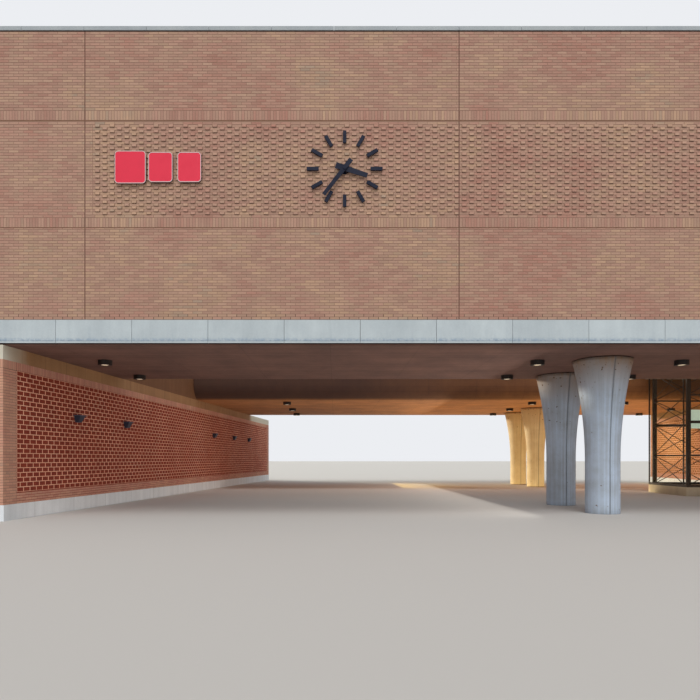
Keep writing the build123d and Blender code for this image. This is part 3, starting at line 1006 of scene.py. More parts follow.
BRICK_QUADS = np.array([[4, 5, 6, 7], [8, 9, 11, 10], [1, 2, 6, 5], [2, 3, 7, 6], [3, 0, 4, 7]])
# Painted shade at each of a brick's twelve vertices: 1 unshaded, 0.4 at its lower back corners, 0 under it.
BRICK_DEPTHS = (0.4, 0.4, 1, 1, 1, 1, 1, 1, 0, 0, 0, 0)


def lay_bricks(name: str, fields: Sequence[BrickField], material: Material, seed: int,
               unevenness: float = 0.0008) -> None:
    """Join the bricks of several fields to one piece.

    Each brick has a ring of four corners on the mortar and a slightly smaller ring in front. Its
    underside has the two lower pairs once more, and counts as deep, so that painted shade darkens it. A
    random generator with a fixed seed draws how far each brick stands out, its tone and its light.

    Args:
        name: the piece's name.
        fields: the fields that are joined.
        material: the brick material.
        seed: what the random draws start from.
        unevenness: how far a brick may stand out more or less than its field says.
    """
    draw = np.random.default_rng(seed)
    places, highlight_lifts = [], []
    for part in fields:
        rows, out = part.bricks()
        u = rows[:, [0, 1, 1, 0]]
        v = rows[:, [2, 2, 3, 3]]
        cheek = part.arris + part.splay * (out > part.proud)
        front_u = u + cheek[:, None] * np.array([1, -1, -1, 1])
        front_v = v + part.arris * np.array([1, 1, -1, -1])
        uneven = out + draw.uniform(-unevenness, unevenness, len(out))
        back = part.wall.place(u, v, np.zeros_like(u))
        front = part.wall.place(front_u, front_v, np.repeat(uneven[:, None], 4, axis=1))
        places.append(np.concatenate((back, front, back[:, :2], front[:, :2]), axis=1))
        # Projecting headers carry a painted highlight.
        highlight_lifts.append(part.header_highlight * (out > part.proud))
    ring = np.concatenate(places)
    faces = BRICK_QUADS[None] + 12 * np.arange(len(ring))[:, None, None]
    made = new_piece(name, ring.reshape(-1, 3), faces.reshape(-1, 4), material, "brick")
    add_draws(made, draw, np.concatenate(highlight_lifts), BRICK_DEPTHS)


@dataclass
class Storey:
    """The brick storey on the front deck: its brickwork on four sides and its movement joints."""

    bays: int = 4
    joint: float = 0.024
    soldier_height: float = 0.25
    course: float = 0.075
    relief_bays: tuple[int, ...] = (1, 2)
    relief_start: float = 0.20
    slot_width: float = 0.015
    slot_out: float = 0.0012
    slot_lap: float = 0.001
    slot_margin: float = 0.05
    slot_courses: int = 2
    sealant_depths: tuple[float, float] = (0.003, 0.010)
    coping_shadow_lap: float = 0.012
    coping_shadow_back: float = 0.010
    coping_shadow_out: float = 0.0065
    seed: int = 11
    seeds_a_side: int = 7
    tiers: tuple[str, ...] = ("front_brick_lower", "front_brick_middle", "front_brick_upper")
    levels: list[tuple[float, float]] = field(default_factory=list)

    def build(self, brick: Material, mortar: Material) -> None:
        """Lay the bricks of all sides and finish what carries them.

        Args:
            brick: the finish of the bricks.
            mortar: the finish of the walls behind them.
        """
        self.levels = [(corners(node)[0][2], corners(node)[1][2]) for node in self.tiers]
        low, high = corners("front_brick_lower")
        high[1] = corners("back_brick")[1][1]
        slots = PaintFinish("slot_shadow", linear(26, 14, 10), dust_share=0.0, roughness=0.9).material()
        sealants = {
            "level": PaintFinish("level_joint_sealant", linear(128, 90, 68), 0.3, 0.8).material(),
            "upright": PaintFinish("upright_joint_sealant", linear(112, 74, 62), 0.3, 0.8).material(),
        }
        # A near-black strip under the coping is painted shadow, where the coping overhangs the bricks.
        coping_shadow_paint = PaintFinish("painted_coping_shadow", linear(46, 32, 30), 0.1, 0.8).material()
        for index, side in enumerate(Side):
            wall = side.wall(low, high)
            bays = self.bays if side.across() else 1
            for tier in range(len(self.tiers)):
                fields = self.fields(wall, bays, tier, side is Side.FRONT)
                seed = self.seed + self.seeds_a_side * index + tier
                lay_bricks(f"{side.value}_bricks_{tier + 1}", fields, brick, seed)
            self.lay_weep_slots(side, wall, bays, slots)
            self.fill_joints(side, wall, bays, sealants)
            # Painted shadow under the coping, as a dark strip over the top of the bricks.
            top = self.levels[-1][1]
            strip = [0.0, wall.run, top - self.coping_shadow_lap, top + self.coping_shadow_lap, -self.coping_shadow_back, self.coping_shadow_out]
            new_piece(f"{side.value}_coping_shadow_strip", *wall.boxes(np.array([strip])), coping_shadow_paint, "brick")
        dress(mortar, *self.tiers, "back_brick", "left_brick", "right_brick")

    def spans(self, run: float, bays: int) -> list[tuple[float, float]]:
        """Work out the bays of a side.

        Args:
            run: the side's length.
            bays: how many bays it has.

        Returns:
            The two ends of each bay, between its movement joints.
        """
        pitch = run / bays
        half = self.joint / 2
        return [(bay * pitch + (half if bay else 0.0), (bay + 1) * pitch - (half if bay < bays - 1 else 0.0))
                for bay in range(bays)]

    def fields(self, wall: Wall, bays: int, tier: int, relief: bool) -> list[BrickField]:
        """Give the fields of one tier of a side.

        Args:
            wall: the face of the side.
            bays: how many bays it has.
            tier: the tier's number, from the lowest.
            relief: whether the side has a panel of projecting headers.

        Returns:
            The fields, bay by bay: a soldier course at the foot of the upper tiers, and courses on it.
        """
        bottom, top = self.levels[tier]
        made = []
        for bay, (left, right) in enumerate(self.spans(wall.run, bays)):
            start = bottom
            if tier > 0:
                made.append(BrickField(wall, left, right, bottom, bottom + self.soldier_height, Bond.SOLDIER))
                start = bottom + self.soldier_height + MORTAR_JOINT
            if tier == 1 and relief and bay in self.relief_bays:
                first = left + (self.relief_start if bay == self.relief_bays[0] else 0.0)
                low = start + self.course
                count = int((top - low) / self.course) - 1
                high = low + count * self.course - MORTAR_JOINT
                made.append(BrickField(wall, left, right, start, low - MORTAR_JOINT))
                made.append(BrickField(wall, left, right, high + MORTAR_JOINT, top))
                made.append(BrickField(wall, first, right, low, high, Bond.RELIEF))
                if first > left:
                    made.append(BrickField(wall, left, first - MORTAR_JOINT, low, high))
            else:
                made.append(BrickField(wall, left, right, start, top))
        return made

    def lay_weep_slots(self, side: Side, wall: Wall, bays: int, dark: Material) -> None:
        """Set dark slots into the open head joints of the lowest courses.

        Args:
            side: the side.
            wall: its face.
            bays: how many bays it has.
            dark: the finish of the slots.
        """
        long = BRICK_LENGTH + MORTAR_JOINT
        rows = []
        for left, right in self.spans(wall.run, bays):
            for course in range(self.slot_courses):
                first = left + BRICK_LENGTH - (course % 2) * long / 2
                start = np.arange(first, right - self.slot_margin, long)
                level = np.full(len(start), self.levels[0][0] + course * self.course)
                rows.append(np.stack((start - self.slot_lap, start + self.slot_width,
                                      level, level + BRICK_HEIGHT), axis=1))
        places, faces = wall.sheets(np.concatenate(rows), self.slot_out)
        new_piece(f"{side.value}_weep_slots", places, faces, dark, "brick")

    def fill_joints(self, side: Side, wall: Wall, bays: int, sealants: dict[str, Material]) -> None:
        """Fill the level and the upright movement joints with strips that lie back from the bricks.

        Args:
            side: the side.
            wall: its face.
            bays: how many bays it has.
            sealants: the finishes of the level and of the upright strips.
        """
        level = [[0.0, wall.run, below[1], above[0]] for below, above in zip(self.levels, self.levels[1:])]
        spans = self.spans(wall.run, bays)
        upright = [[before, after, bottom, top] for (_, before), (after, _) in zip(spans, spans[1:])
                   for bottom, top in self.levels]
        for name, rows, depth in zip(sealants, (level, upright), self.sealant_depths):
            if rows:
                places, faces = wall.sheets(np.array(rows), -depth)
                new_piece(f"{side.value}_{name}_sealant", places, faces, sealants[name], "brick")


@dataclass
class Concrete:
    """Everything that is cast: fascia, decks, platform slabs, cores, plinths, bands and copings."""

    piece_pitch: float = 2.027
    first_joint: float = -0.6
    sheets: tuple[JointRow, ...] = (JointRow(0, -0.99, 2.44, 0.010), JointRow(1, 0.2, 1.22, 0.006))
    slab_joint: JointRow = JointRow(1, -2.78, 20.0, 0.014)
    plinth_joint: JointRow = JointRow(1, 0.1, 2.0)
    panel_start: float = 0.78
    panel_pitch: float = 1.08
    nose_depth: float = 0.66

    def build(self) -> None:
        """Give each cast node the finish of its own formwork."""
        self.dress_bands()
        self.dress_decks()
        backings = [f"backing_{side.value}" for side in Side]
        for name, pale, dark, looks, nodes in (
            ("plain_wall_concrete", (178, 174, 166), (144, 140, 134), {"streaks": 0.4},
             ("tower_landing", "left_road_core", "right_road_core", *backings)),
            ("plinth_concrete", (236, 240, 244), (204, 208, 212),
             {"streaks": 0.5, "joints": (self.plinth_joint,)}, ("road_plinths",)),
            ("tower_base_concrete", (182, 170, 148), (152, 142, 124), {"streaks": 0.4}, ("tower_plinth",)),
            ("coping_concrete", (176, 182, 184), (144, 151, 158), {},
             ("front_coping", "back_coping", "end_copings")),
            ("roof_gravel", (150, 146, 140), (110, 106, 102), {"pores": 0.3}, ("roof_slab",)),
        ):
            dress(ConcreteFinish(name, linear(*pale), linear(*dark), **looks).material(), *nodes)

    def dress_bands(self) -> None:
        """Give the fascia its precast pieces and the head bands their cast panels."""
        low = corners("fascia_band")[0]
        fascia = BandFinish("fascia_concrete", linear(196, 206, 210), linear(168, 178, 184), streaks=0.3,
                            pores=0.08, bottom=low[2], first_joint=self.first_joint, pitch=self.piece_pitch)
        dress(fascia.material(), "fascia_band")
        panels = (JointRow(1, low[1] + self.panel_start, self.panel_pitch),)
        bands = HeadBandFinish("cast_wall_concrete", linear(172, 130, 90), linear(137, 100, 67), streaks=0.5,
                               joints=panels, joint_shade=0.6, front=low[1],
                               open_from=corners("rear_deck")[1][1])
        dress(bands.material(), "head_bands")

    def dress_decks(self) -> None:
        """Give both decks a board-marked soffit with the joints of its formwork sheets."""
        rim = ConcreteFinish("deck_rim", linear(172, 168, 160), linear(142, 138, 132), streaks=0.4)
        marks = {"boards": 0.11, "board_contrast": 0.05, "joints": self.sheets, "joint_shade": 0.3}
        plain = {"streaks": 0.5, "joints": (self.slab_joint,), "joint_shade": 0.6}
        for node, name, pale, dark, looks in (
            ("front_deck", "front_deck_concrete", (128, 92, 80), (87, 62, 55), marks),
            # The rear deck's orange is partly painted warm evening light on the same concrete as the front
            # deck.
            ("rear_deck", "rear_deck_concrete", (202, 140, 82), (144, 95, 57),
             {**marks, "nose_depth": self.nose_depth}),
            ("platform_slabs", "platform_slab_concrete", (126, 86, 56), (98, 65, 41), plain),
        ):
            low, high = corners(node)
            finish = DeckFinish(name, linear(*pale), linear(*dark), rim=rim, low=low, high=high, **looks)
            dress(finish.material(), node)


@dataclass
class Columns:
    """The flared columns, as smooth shells with their casting seam and a shadow gap at the deck."""

    radius: float = 0.50
    straight: float = 1.60
    seam_half_angle: float = 1.2
    seam_depth: float = 0.012
    seam_cheek: float = 0.05
    gap: float = 0.026
    gap_depth: float = 0.030
    foot_arris: float = 0.010
    arc_steps: int = 44
    flare_steps: int = 30
    tones: dict[str, dict[str, Colour]] = field(default_factory=lambda: {
        "front_columns": {},
        # The rear columns' yellow tones are painted warm evening light on the front columns' concrete.
        "rear_columns": {"cool": linear(222, 206, 170), "warm": linear(190, 158, 120),
                         "dark": linear(182, 158, 122)},
    })

    def build(self) -> None:
        """Replace each pair of columns by its smooth shells."""
        for node, tones in self.tones.items():
            low, high = corners(node)
            top_radius = (high[0] - low[0]) / 2
            middle_x = (low[0] + high[0]) / 2
            middles = (low[1] + top_radius, high[1] - top_radius)
            finish = ColumnFinish(f"{node}_concrete", middle_x, middles, high[2],
                                  gap_height=self.gap, **tones)
            shells = [self.shell(middle_x, middle_y, top_radius, high[2]) for middle_y in middles]
            places = np.concatenate([shell[0] for shell in shells])
            count = len(places) // len(shells)
            quads = np.concatenate([shell[1] + count * index for index, shell in enumerate(shells)])
            around = np.arange(2 * self.arc_steps + 4)
            caps = np.stack([cap + count * index for index in range(len(shells))
                             for cap in (around[::-1], count - len(around) + around)])
            smooth = np.concatenate((*(shell[2] for shell in shells), np.zeros(len(caps), dtype=bool)))
            made = new_piece(f"{node}_shells", places, (quads, caps), finish.material(), "column_concrete",
                             smooth)
            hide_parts(node)

    def shell(self, x: float, y: float, top_radius: float, top: float) -> tuple[Array, Array, Array]:
        """Work out one column as a radius over height and angle.

        The radius is constant below; above it follows a circle that touches the shaft's line and
        passes through the top edge: the flare's own radius less the square root of its square less
        the square of the rise. A seam on the front and on the back lies a little deeper, and the
        last stretch below the deck steps back.

        Args:
            x, y: the column's axis.
            top_radius: its radius at the deck.
            top: the level of the deck.

        Returns:
            The places, the faces and whether each face is shaded smooth.
        """
        spread = top_radius - self.radius
        rise = top - self.straight
        bend = (spread ** 2 + rise ** 2) / (2 * spread)
        flare = np.linspace(self.straight, top - self.gap, self.flare_steps)
        level = np.concatenate(([0.0, self.foot_arris], np.linspace(0.2, self.straight - 0.2, 4), flare,
                                [top - self.gap, top]))
        climb = np.clip(level - self.straight, 0, None)
        radius = self.radius + bend - np.sqrt(bend ** 2 - climb ** 2)
        radius[0] -= self.foot_arris
        radius[-2:] = radius[-3] - self.gap_depth
        half = self.seam_half_angle
        side = np.linspace(-90 + half, 90 - half, self.arc_steps)
        seam = 90 + np.array([-1, 1]) * (half - self.seam_cheek)
        angle = np.radians(np.concatenate((side, seam, side + 180, seam + 180)))
        deep = np.tile(np.concatenate((np.zeros(len(side)), [1, 1])), 2) * self.seam_depth
        reach = radius[:, None] - deep[None, :]
        places = np.stack((x + reach * np.cos(angle), y + reach * np.sin(angle),
                           np.broadcast_to(level[:, None], reach.shape)), axis=-1)
        columns = len(angle)
        column = np.tile(np.arange(columns), len(level) - 1)
        row = np.repeat(np.arange(len(level) - 1), columns)
        soft = (deep[column] == 0) & (deep[(column + 1) % columns] == 0) & (row > 0) & (row < len(level) - 3)
        return places.reshape(-1, 3), grid_faces(len(level), columns), soft


@dataclass
class BaseWalls:
    """The walls beside the road: plain and soldier bricks, perforated panels, plinths and bands."""

    plinth_top: float = 0.43
    panel_bottom: float = 0.75
    panel_top: float = 4.09
    band_bottom: float = 4.32
    panel_gap: float = 0.012
    cell_length: float = 0.2875
    cell_height: float = 0.1335
    rim_side: float = 0.0065
    rim_level: float = 0.0105
    rim_depth: float = 0.012
    rim_wobble: float = 0.0015
    far_strip: float = 0.55
    band_cover: float = 0.008
    plinth_cover: float = 0.0128
    band_gap: float = 0.004
    plain_seed: int = 60
    rim_seed: int = 100
    seeds: dict[Side, int] = field(default_factory=lambda: {Side.LEFT: 70, Side.RIGHT: 71})
    clay: dict[Side, dict[str, Colour]] = field(default_factory=lambda: {
        Side.LEFT: {},
        # The right wall's yellower clay is painted warm evening light on the same perforated bricks.
        Side.RIGHT: {"pale": linear(190, 126, 70), "dark": linear(160, 102, 54)},
    })
    # warm_stops are a warmer, paler copy of the brick, partly painted warm light under the decks.
    warm_stops: Stops = (
        (0.0, linear(186, 126, 109)),
        (0.3, linear(191, 136, 117)),
        (0.6, linear(194, 144, 123)),
        (0.85, linear(201, 152, 127)),
        (1.0, linear(184, 144, 125)),
    )
    rim_stops: Stops = (
        (0.0, linear(220, 156, 129)),
        (0.5, linear(234, 176, 147)),
        (1.0, linear(244, 193, 165)),
    )

    def build(self, brick: Material, mortar: Material) -> None:
        """Lay the bricks on the piers, the road walls, the end walls and the back walls.

        Args:
            brick: the finish of the bricks on the ends and the back.
            mortar: the finish of the walls behind the bricks.
        """
        # The road-side brick is partly painted warm light under the decks.
        warm = BrickFinish("road_side_brick", self.warm_stops).material()
        low, high = corners("base_front_walls")
        high[1] = corners("left_end_wall")[1][1]
        parts = {
            "left_front": (Side.FRONT, low[0], Side.LEFT.road_line()),
            "right_front": (Side.FRONT, Side.RIGHT.road_line(), high[0]),
            "left_end": (Side.LEFT, low[0], high[0]),
            "right_end": (Side.RIGHT, low[0], high[0]),
            "left_rear": (Side.BACK, low[0], corners("left_back_wall")[1][0]),
            "right_rear": (Side.BACK, corners("right_back_wall")[0][0], high[0]),
        }
        walls = {name: side.wall((left, low[1]), (right, high[1]))
                 for name, (side, left, right) in parts.items()}
        for index, (name, wall) in enumerate(walls.items()):
            fields = [
                BrickField(wall, 0.0, wall.run, self.plinth_top, self.panel_top - MORTAR_JOINT),
                BrickField(wall, 0.0, wall.run, self.panel_top, self.band_bottom, Bond.SOLDIER),
            ]
            material = warm if name.endswith("front") else brick
            lay_bricks(f"{name}_bricks", fields, material, self.plain_seed + index)
        self.lay_facings({name: wall for name, wall in walls.items() if not name.endswith("front")})
        for side in (Side.LEFT, Side.RIGHT):
            self.road_side(side, side.road_wall(), warm)
        dress(mortar, "base_front_walls", "left_end_wall", "right_end_wall", "left_back_wall",
              "right_back_wall")

    def lay_facings(self, walls: dict[str, Wall]) -> None:
        """Carry the concrete plinth and head band round the ends and the back, as thin facings.

        Args:
            walls: the names and faces of the ends and the back.
        """
        top = corners("left_end_wall")[1][2]
        finish = ConcreteFinish("facing_concrete", linear(196, 190, 178), linear(158, 152, 140), streaks=0.5)
        material = finish.material()
        for name, wall in walls.items():
            rows = np.array([
                [0.0, wall.run, 0.0, self.plinth_top, 0.0, self.plinth_cover],
                [0.0, wall.run, self.band_bottom + self.band_gap, top, 0.0, self.band_cover],
            ])
            new_piece(f"{name}_facings", *wall.boxes(rows), material, "wall_concrete")

    def road_side(self, side: Side, wall: Wall, brick: Material) -> None:
        """Dress one road wall.

        Args:
            side: left or right.
            wall: the face of the wall, seen from the road.
            brick: the finish of its bricks.
        """
        near, far = (PIER_DEPTH, self.far_strip) if side is Side.LEFT else (self.far_strip, PIER_DEPTH)
        cells = int((wall.run - far - near) / self.cell_length)
        rows = int((self.panel_top - self.panel_bottom) / self.cell_height)
        right = near + cells * self.cell_length
        top = self.panel_bottom + rows * self.cell_height
        gap = self.panel_gap
        under = self.panel_bottom - MORTAR_JOINT
        fields = [
            BrickField(wall, near + gap / 2, right, self.plinth_top, under),
            BrickField(wall, gap / 2 + near, right, top + MORTAR_JOINT, self.band_bottom, Bond.SOLDIER),
        ]
        for left, end in ((0.0, near - gap / 2), (right + gap, wall.run)):
            fields.append(BrickField(wall, left, end, self.plinth_top, top - MORTAR_JOINT))
            fields.append(BrickField(wall, left, end, top + MORTAR_JOINT, self.band_bottom, Bond.SOLDIER))
        lay_bricks(f"{side.value}_road_bricks", fields, brick, self.seeds[side])
        start = wall.place(near, self.panel_bottom, 0.0)
        finish = PerforatedFinish(f"{side.value}_perforated_face", wall.along, tuple(start),
                                  **self.clay[side])
        dress(finish.material(), f"{side.value}_road_brick")
        self.lattice(side, wall, near, cells, rows)

    def lattice(self, side: Side, wall: Wall, left: float, cells: int, rows: int) -> None:
        """Make the raised rims of the perforated bricks.

        Every cell is an outer ring and an inner ring in front, and the inner ring again on the wall,
        so that its faces form a rim and the four walls of a recess. Every second row is half a cell
        further on, and its end cells are cut off.

        Args:
            side: left or right.
            wall: the wall's face.
            left: where the panel starts.
            cells: how many bricks a row has.
            rows: how many rows there are.
        """
        up, along = np.meshgrid(np.arange(rows), np.arange(-1, cells + 1), indexing="ij")
        start = left + along * self.cell_length + (up % 2) * self.cell_length / 2
        edge = left + cells * self.cell_length
        stop = np.clip(start + self.cell_length, left, edge).ravel()
        start = np.clip(start, left, edge).ravel()
        low = (self.panel_bottom + up * self.cell_height).ravel()
        keep = stop - start > 3 * self.rim_side
        start, stop, low = start[keep], stop[keep], low[keep]
        high = low + self.cell_height
        draw = np.random.default_rng(self.seeds[side] + self.rim_seed)
        wobble = draw.uniform(-self.rim_wobble, self.rim_wobble, (len(start), 2))
        outer_u = np.stack((start, stop, stop, start), axis=1)
        outer_v = np.stack((low, low, high, high), axis=1)
        inner_u = outer_u + (self.rim_side + wobble[:, :1]) * np.array([1, -1, -1, 1])
        inner_v = outer_v + (self.rim_level + wobble[:, 1:]) * np.array([1, 1, -1, -1])
        front = np.full_like(outer_u, self.rim_depth)
        rings = np.concatenate((wall.place(outer_u, outer_v, front), wall.place(inner_u, inner_v, front),
                                wall.place(inner_u, inner_v, np.zeros_like(front))), axis=1)
        corner = np.arange(4)
        after = (corner + 1) % 4
        rim = np.stack((corner, after, 4 + after, 4 + corner), axis=1)
        faces = np.concatenate((rim, rim + 4))[None] + 12 * np.arange(len(rings))[:, None, None]
        made = new_piece(f"{side.value}_perforated_rims", rings.reshape(-1, 3), faces.reshape(-1, 4),
                         BrickFinish("perforated_rim", self.rim_stops).material(), "road_brick")
        add_draws(made, draw, np.zeros(len(rings)), np.ones(12))


@dataclass
class Tower:
    """The crossed rods in the fields of the glazed tower.

    edges and insets are how far from the ends of a side its rods start and how far behind its face
    they lie, for the front and the back, and for the left and the right.
    """

    rod_radius: float = 0.018
    edges: tuple[float, float] = (0.26, 0.32)
    insets: tuple[float, float] = (0.25, 0.10)
    rail: float = 0.06
    levels: tuple[float, ...] = (0.44, 1.83, 3.32, 4.53, 5.90, 7.30, 8.66)

    def build(self, steel: Material) -> None:
        """Cross two rods in every field of each side.

        Args:
            steel: the finish of the rods.
        """
        for side in Side:
            wall = side.wall(*corners("tower_plinth"))
            edge, inset = (pair[0 if side.across() else 1] for pair in (self.edges, self.insets))
            along = np.array([edge, wall.run - edge])
            ends = []
            for bottom, top in zip(self.levels, self.levels[1:]):
                up = np.array([bottom + self.rail, top - self.rail])
                ends += [wall.place(along, levels, np.full(2, -inset)) for levels in (up, up[::-1])]
            places, faces = rods(np.array(ends), self.rod_radius)
            new_piece(f"tower_{side.value}_rods", places, faces, steel, "dark_steel", True)


@dataclass
class Lamps:
    """The lenses and rims of the drum lights and the plates of the wall lamps.

    The setbacks are distances behind the front of the deck or wall that carries the lamps. A bezel
    laps over the drum's edge, wraps under it and ends at the lens.
    """

    drum_radius: float = 0.21
    drum_depth: float = 0.13
    lens_radius: float = 0.115
    lens_back: float = 0.004
    lens_rise: float = 0.012
    lens_rings: int = 7
    lens_turn: float = math.pi / 2 * 0.94
    bezel_lap: float = 0.004
    bezel_drop: float = 0.014
    bezel_lip: float = 0.006
    bezel_arris: float = 0.002
    sides: int = 40
    front_x: tuple[float, ...] = (-10.4, 2.95, 7.4)
    front_setbacks: tuple[float, ...] = (2.5, 5.7)
    rear_x: tuple[float, ...] = (-5.85, 7.2, 12.1, 16.9)
    rear_setbacks: tuple[float, ...] = (1.5, 5.5, 9.2)
    wall_setbacks: tuple[float, ...] = (3.5, 6.85, 17.2, 21.0, 24.5)
    plate_length: float = 0.40
    plate_reach: float = 0.245
    plate_thickness: float = 0.014

    def build(self, housing: Material) -> None:
        """Fit each drum with a bezel and a domed lens.

        Args:
            housing: the finish of the bezels.
        """
        glass = LensFinish("opal_lens", linear(236, 216, 186), 0.45).material()
        self.cover_wall_lamps()
        drum, lens, lap, drop = self.drum_radius, self.lens_radius, self.bezel_lap, self.bezel_drop
        bezel = np.array(((drum, lap), (drum + lap, 0.0), (drum + lap, lap - drop),
                          (drum - self.bezel_arris, -drop), (lens + self.bezel_lip, -drop),
                          (lens, -self.lens_back)))
        turn = np.linspace(0, self.lens_turn, self.lens_rings)
        dome = np.stack((lens * np.cos(turn), -self.lens_back - self.lens_rise * np.sin(turn)), axis=1)
        bottom = corners("front_deck")[0][2] - self.drum_depth
        for name, xs, carrier, setbacks in (("front", self.front_x, "fascia_band", self.front_setbacks),
                                            ("rear", self.rear_x, "rear_deck", self.rear_setbacks)):
            edge = corners(carrier)[0][1]
            spots = np.array([[x, edge + setback] for x in xs for setback in setbacks])
            places, faces = self.turned(spots, bottom, bezel)
            new_piece(f"{name}_light_bezels", places, faces, housing, "lamp_housing")
            places, faces = self.turned(spots, bottom, dome)
            last = (np.arange(len(spots))[:, None] + 1) * len(dome) * self.sides - self.sides
            new_piece(f"{name}_light_lenses", places, (faces, last + np.arange(self.sides)[None]), glass,
                      "lamp_housing", True)

    def cover_wall_lamps(self) -> None:
        """Lay a thin wider plate on each lamp of the left road wall."""
        wall = Side.LEFT.road_wall()
        middle = np.array(self.wall_setbacks) / wall.along[1]
        half = self.plate_length / 2
        top = np.full(len(middle), corners("wall_lamps")[1][2])
        rows = np.stack((middle - half, middle + half, top - self.plate_thickness, top,
                         np.zeros(len(middle)), np.full(len(middle), self.plate_reach)), axis=1)
        plate = PaintFinish("lamp_plate", linear(84, 92, 108), roughness=0.5).material()
        new_piece("wall_lamp_plates", *wall.boxes(rows), plate, "lamp_housing")

    def turned(self, spots: Array, level: float, profile: Array) -> tuple[Array, Array]:
        """Turn one profile of radius and height about an upright axis at each spot.

        Args:
            spots: X and Y of the axes.
            level: the level that the heights start from.
            profile: rows of radius and height.

        Returns:
            The places and the faces.
        """
        turn = np.arange(self.sides) / self.sides * 2 * math.pi
        x = profile[:, :1] * np.cos(turn)
        y = -profile[:, :1] * np.sin(turn)
        one = np.stack((x, y, np.broadcast_to(level + profile[:, 1:2], x.shape)), axis=-1)
        places = one[None] + np.pad(spots, ((0, 0), (0, 1)))[:, None, None, :]
        faces = grid_faces(len(profile), self.sides)[None] + x.size * np.arange(len(spots))[:, None, None]
        return places.reshape(-1, 3), faces.reshape(-1, 4)


@dataclass
class SignRims:
    """Thin pale edges round the blank sign tiles."""

    centres: tuple[float, ...] = (-8.712, -7.913, -7.150)
    widths: tuple[float, ...] = (0.811, 0.629, 0.615)
    heights: tuple[float, ...] = (0.850, 0.780, 0.780)
    corner: float = 0.09
    rim: float = 0.013
    lift: float = 0.004
    overlap: float = 0.002
    skirt: float = 0.02
    sunk: float = 0.001
    steps: int = 9

    def outline(self, width: float, height: float, inset: float) -> tuple[Array, Array]:
        """Work out a rounded rectangle as quarter circles about its four corners.

        Args:
            width, height: its size.
            inset: how far it is drawn in.

        Returns:
            Its places along and up, from its middle.
        """
        radius = self.corner - inset
        turn = np.linspace(0, math.pi / 2, self.steps)
        angle = (np.arange(4)[:, None] * math.pi / 2 + turn[None]).ravel()
        sign_x = np.repeat(np.array([1, -1, -1, 1]), self.steps)
        sign_z = np.repeat(np.array([1, 1, -1, -1]), self.steps)
        return (sign_x * (width / 2 - self.corner) + radius * np.cos(angle),
                sign_z * (height / 2 - self.corner) + radius * np.sin(angle))

    def build(self) -> None:
        """Lay a rim on the front edge of each tile."""
        low, high = corners("sign_tiles")
        level = (low[2] + high[2]) / 2
        section = ((-self.overlap, -self.skirt), (-self.overlap, self.lift), (self.rim, self.lift),
                   (self.rim, -self.sunk))
        places, faces = [], []
        for centre, width, height in zip(self.centres, self.widths, self.heights):
            rings = []
            for inset, out in section:
                x, z = self.outline(width, height, inset)
                rings.append(np.stack((centre + x, np.full_like(x, low[1] - out), level + z), axis=-1))
            ring = np.concatenate(rings)
            faces.append(grid_faces(len(section), 4 * self.steps) + len(ring) * len(places))
            places.append(ring)
        pale = PaintFinish("sign_edge", linear(214, 190, 192), roughness=0.4).material()
        new_piece("sign_tile_rims", np.concatenate(places), np.concatenate(faces), pale, "sign_enamel")


@dataclass
class Fittings:
    """Clock, sign, lamp housings and the steel and glass of the tower."""

    clock: tuple[str, ...] = ("clock_markers", "clock_arbor", "hour_hand", "minute_hand")
    frames: tuple[str, ...] = ("tower_frame_front", "tower_frame_back", "tower_frame_left",
                               "tower_frame_right", "tower_roof")

    def build(self) -> None:
        """Finish the fittings and add their small parts."""
        enamel = PaintFinish("clock_enamel", linear(17, 23, 44), dust_share=0.03, roughness=0.55, gloss=0.2)
        steel = PaintFinish("tower_steel", linear(56, 46, 37), roughness=0.55, gloss=0.35).material()
        # The frosted glass glows as painted light; it is no lamp.
        frosted = GlassFinish("frosted_glass", linear(196, 216, 196), alpha=0.9, roughness=0.5, glow=0.45)
        clear = GlassFinish("clear_glass", linear(60, 66, 60), alpha=0.04, roughness=0.03)
        housing = PaintFinish("lamp_housing", linear(36, 30, 28), roughness=0.5, gloss=0.35).material()
        wall_housing = PaintFinish("wall_lamp_housing", linear(38, 44, 62), roughness=0.45)
        dress(enamel.material(), *self.clock)
        dress(TileFinish("sign_enamel", corners("sign_tiles")[0][1]).material(), "sign_tiles")
        dress(steel, *self.frames)
        dress(clear.material(), "tower_glass")
        dress(frosted.material(), "tower_privacy_panel")
        dress(housing, "front_soffit_lights", "rear_soffit_lights")
        dress(wall_housing.material(), "wall_lamps")
        Tower().build(steel)
        Lamps().build(housing)
        SignRims().build()


@dataclass(frozen=True)
class Sun:
    """A soft sun.

    softness is its apparent size, elevation its height above the horizon and azimuth where it
    stands, from straight in front towards the right, all in degrees.
    """

    name: str
    energy: float
    softness: float
    elevation: float
    azimuth: float
    colour: Colour

    def build(self) -> None:
        """Add the sun."""
        data = bpy.data.lights.new(self.name, "SUN")
        data.energy = self.energy
        data.angle = math.radians(self.softness)
        data.color = self.colour
        put(self.name, data, turn=(math.radians(90 - self.elevation), 0, math.radians(self.azimuth)))


class Aim(Enum):
    """Where a soft lamp points, as its rotation."""

    UP = (math.pi, 0.0, 0.0)
    TO_RIGHT = (0.0, -math.pi / 2, 0.0)
    TO_LEFT = (0.0, math.pi / 2, 0.0)


@dataclass(frozen=True)
class Glow:
    """A wide soft lamp in the place of the daylight that is thrown back under the decks.

    size is its extent along its own X and Y, and strength the light that it gives per square metre.
    """

    name: str
    centre: Triple
    aim: Aim
    size: tuple[float, float]
    strength: float
    colour: Colour

    def build(self) -> None:
        """Add the lamp, which is itself unseen."""
        data = bpy.data.lights.new(self.name, "AREA")
        data.shape = "RECTANGLE"
        data.size, data.size_y = self.size
        data.energy = self.strength * self.size[0] * self.size[1]
        data.color = self.colour
        lamp = put(self.name, data, self.centre, self.aim.value)
        lamp.visible_camera = False
        lamp.visible_glossy = False


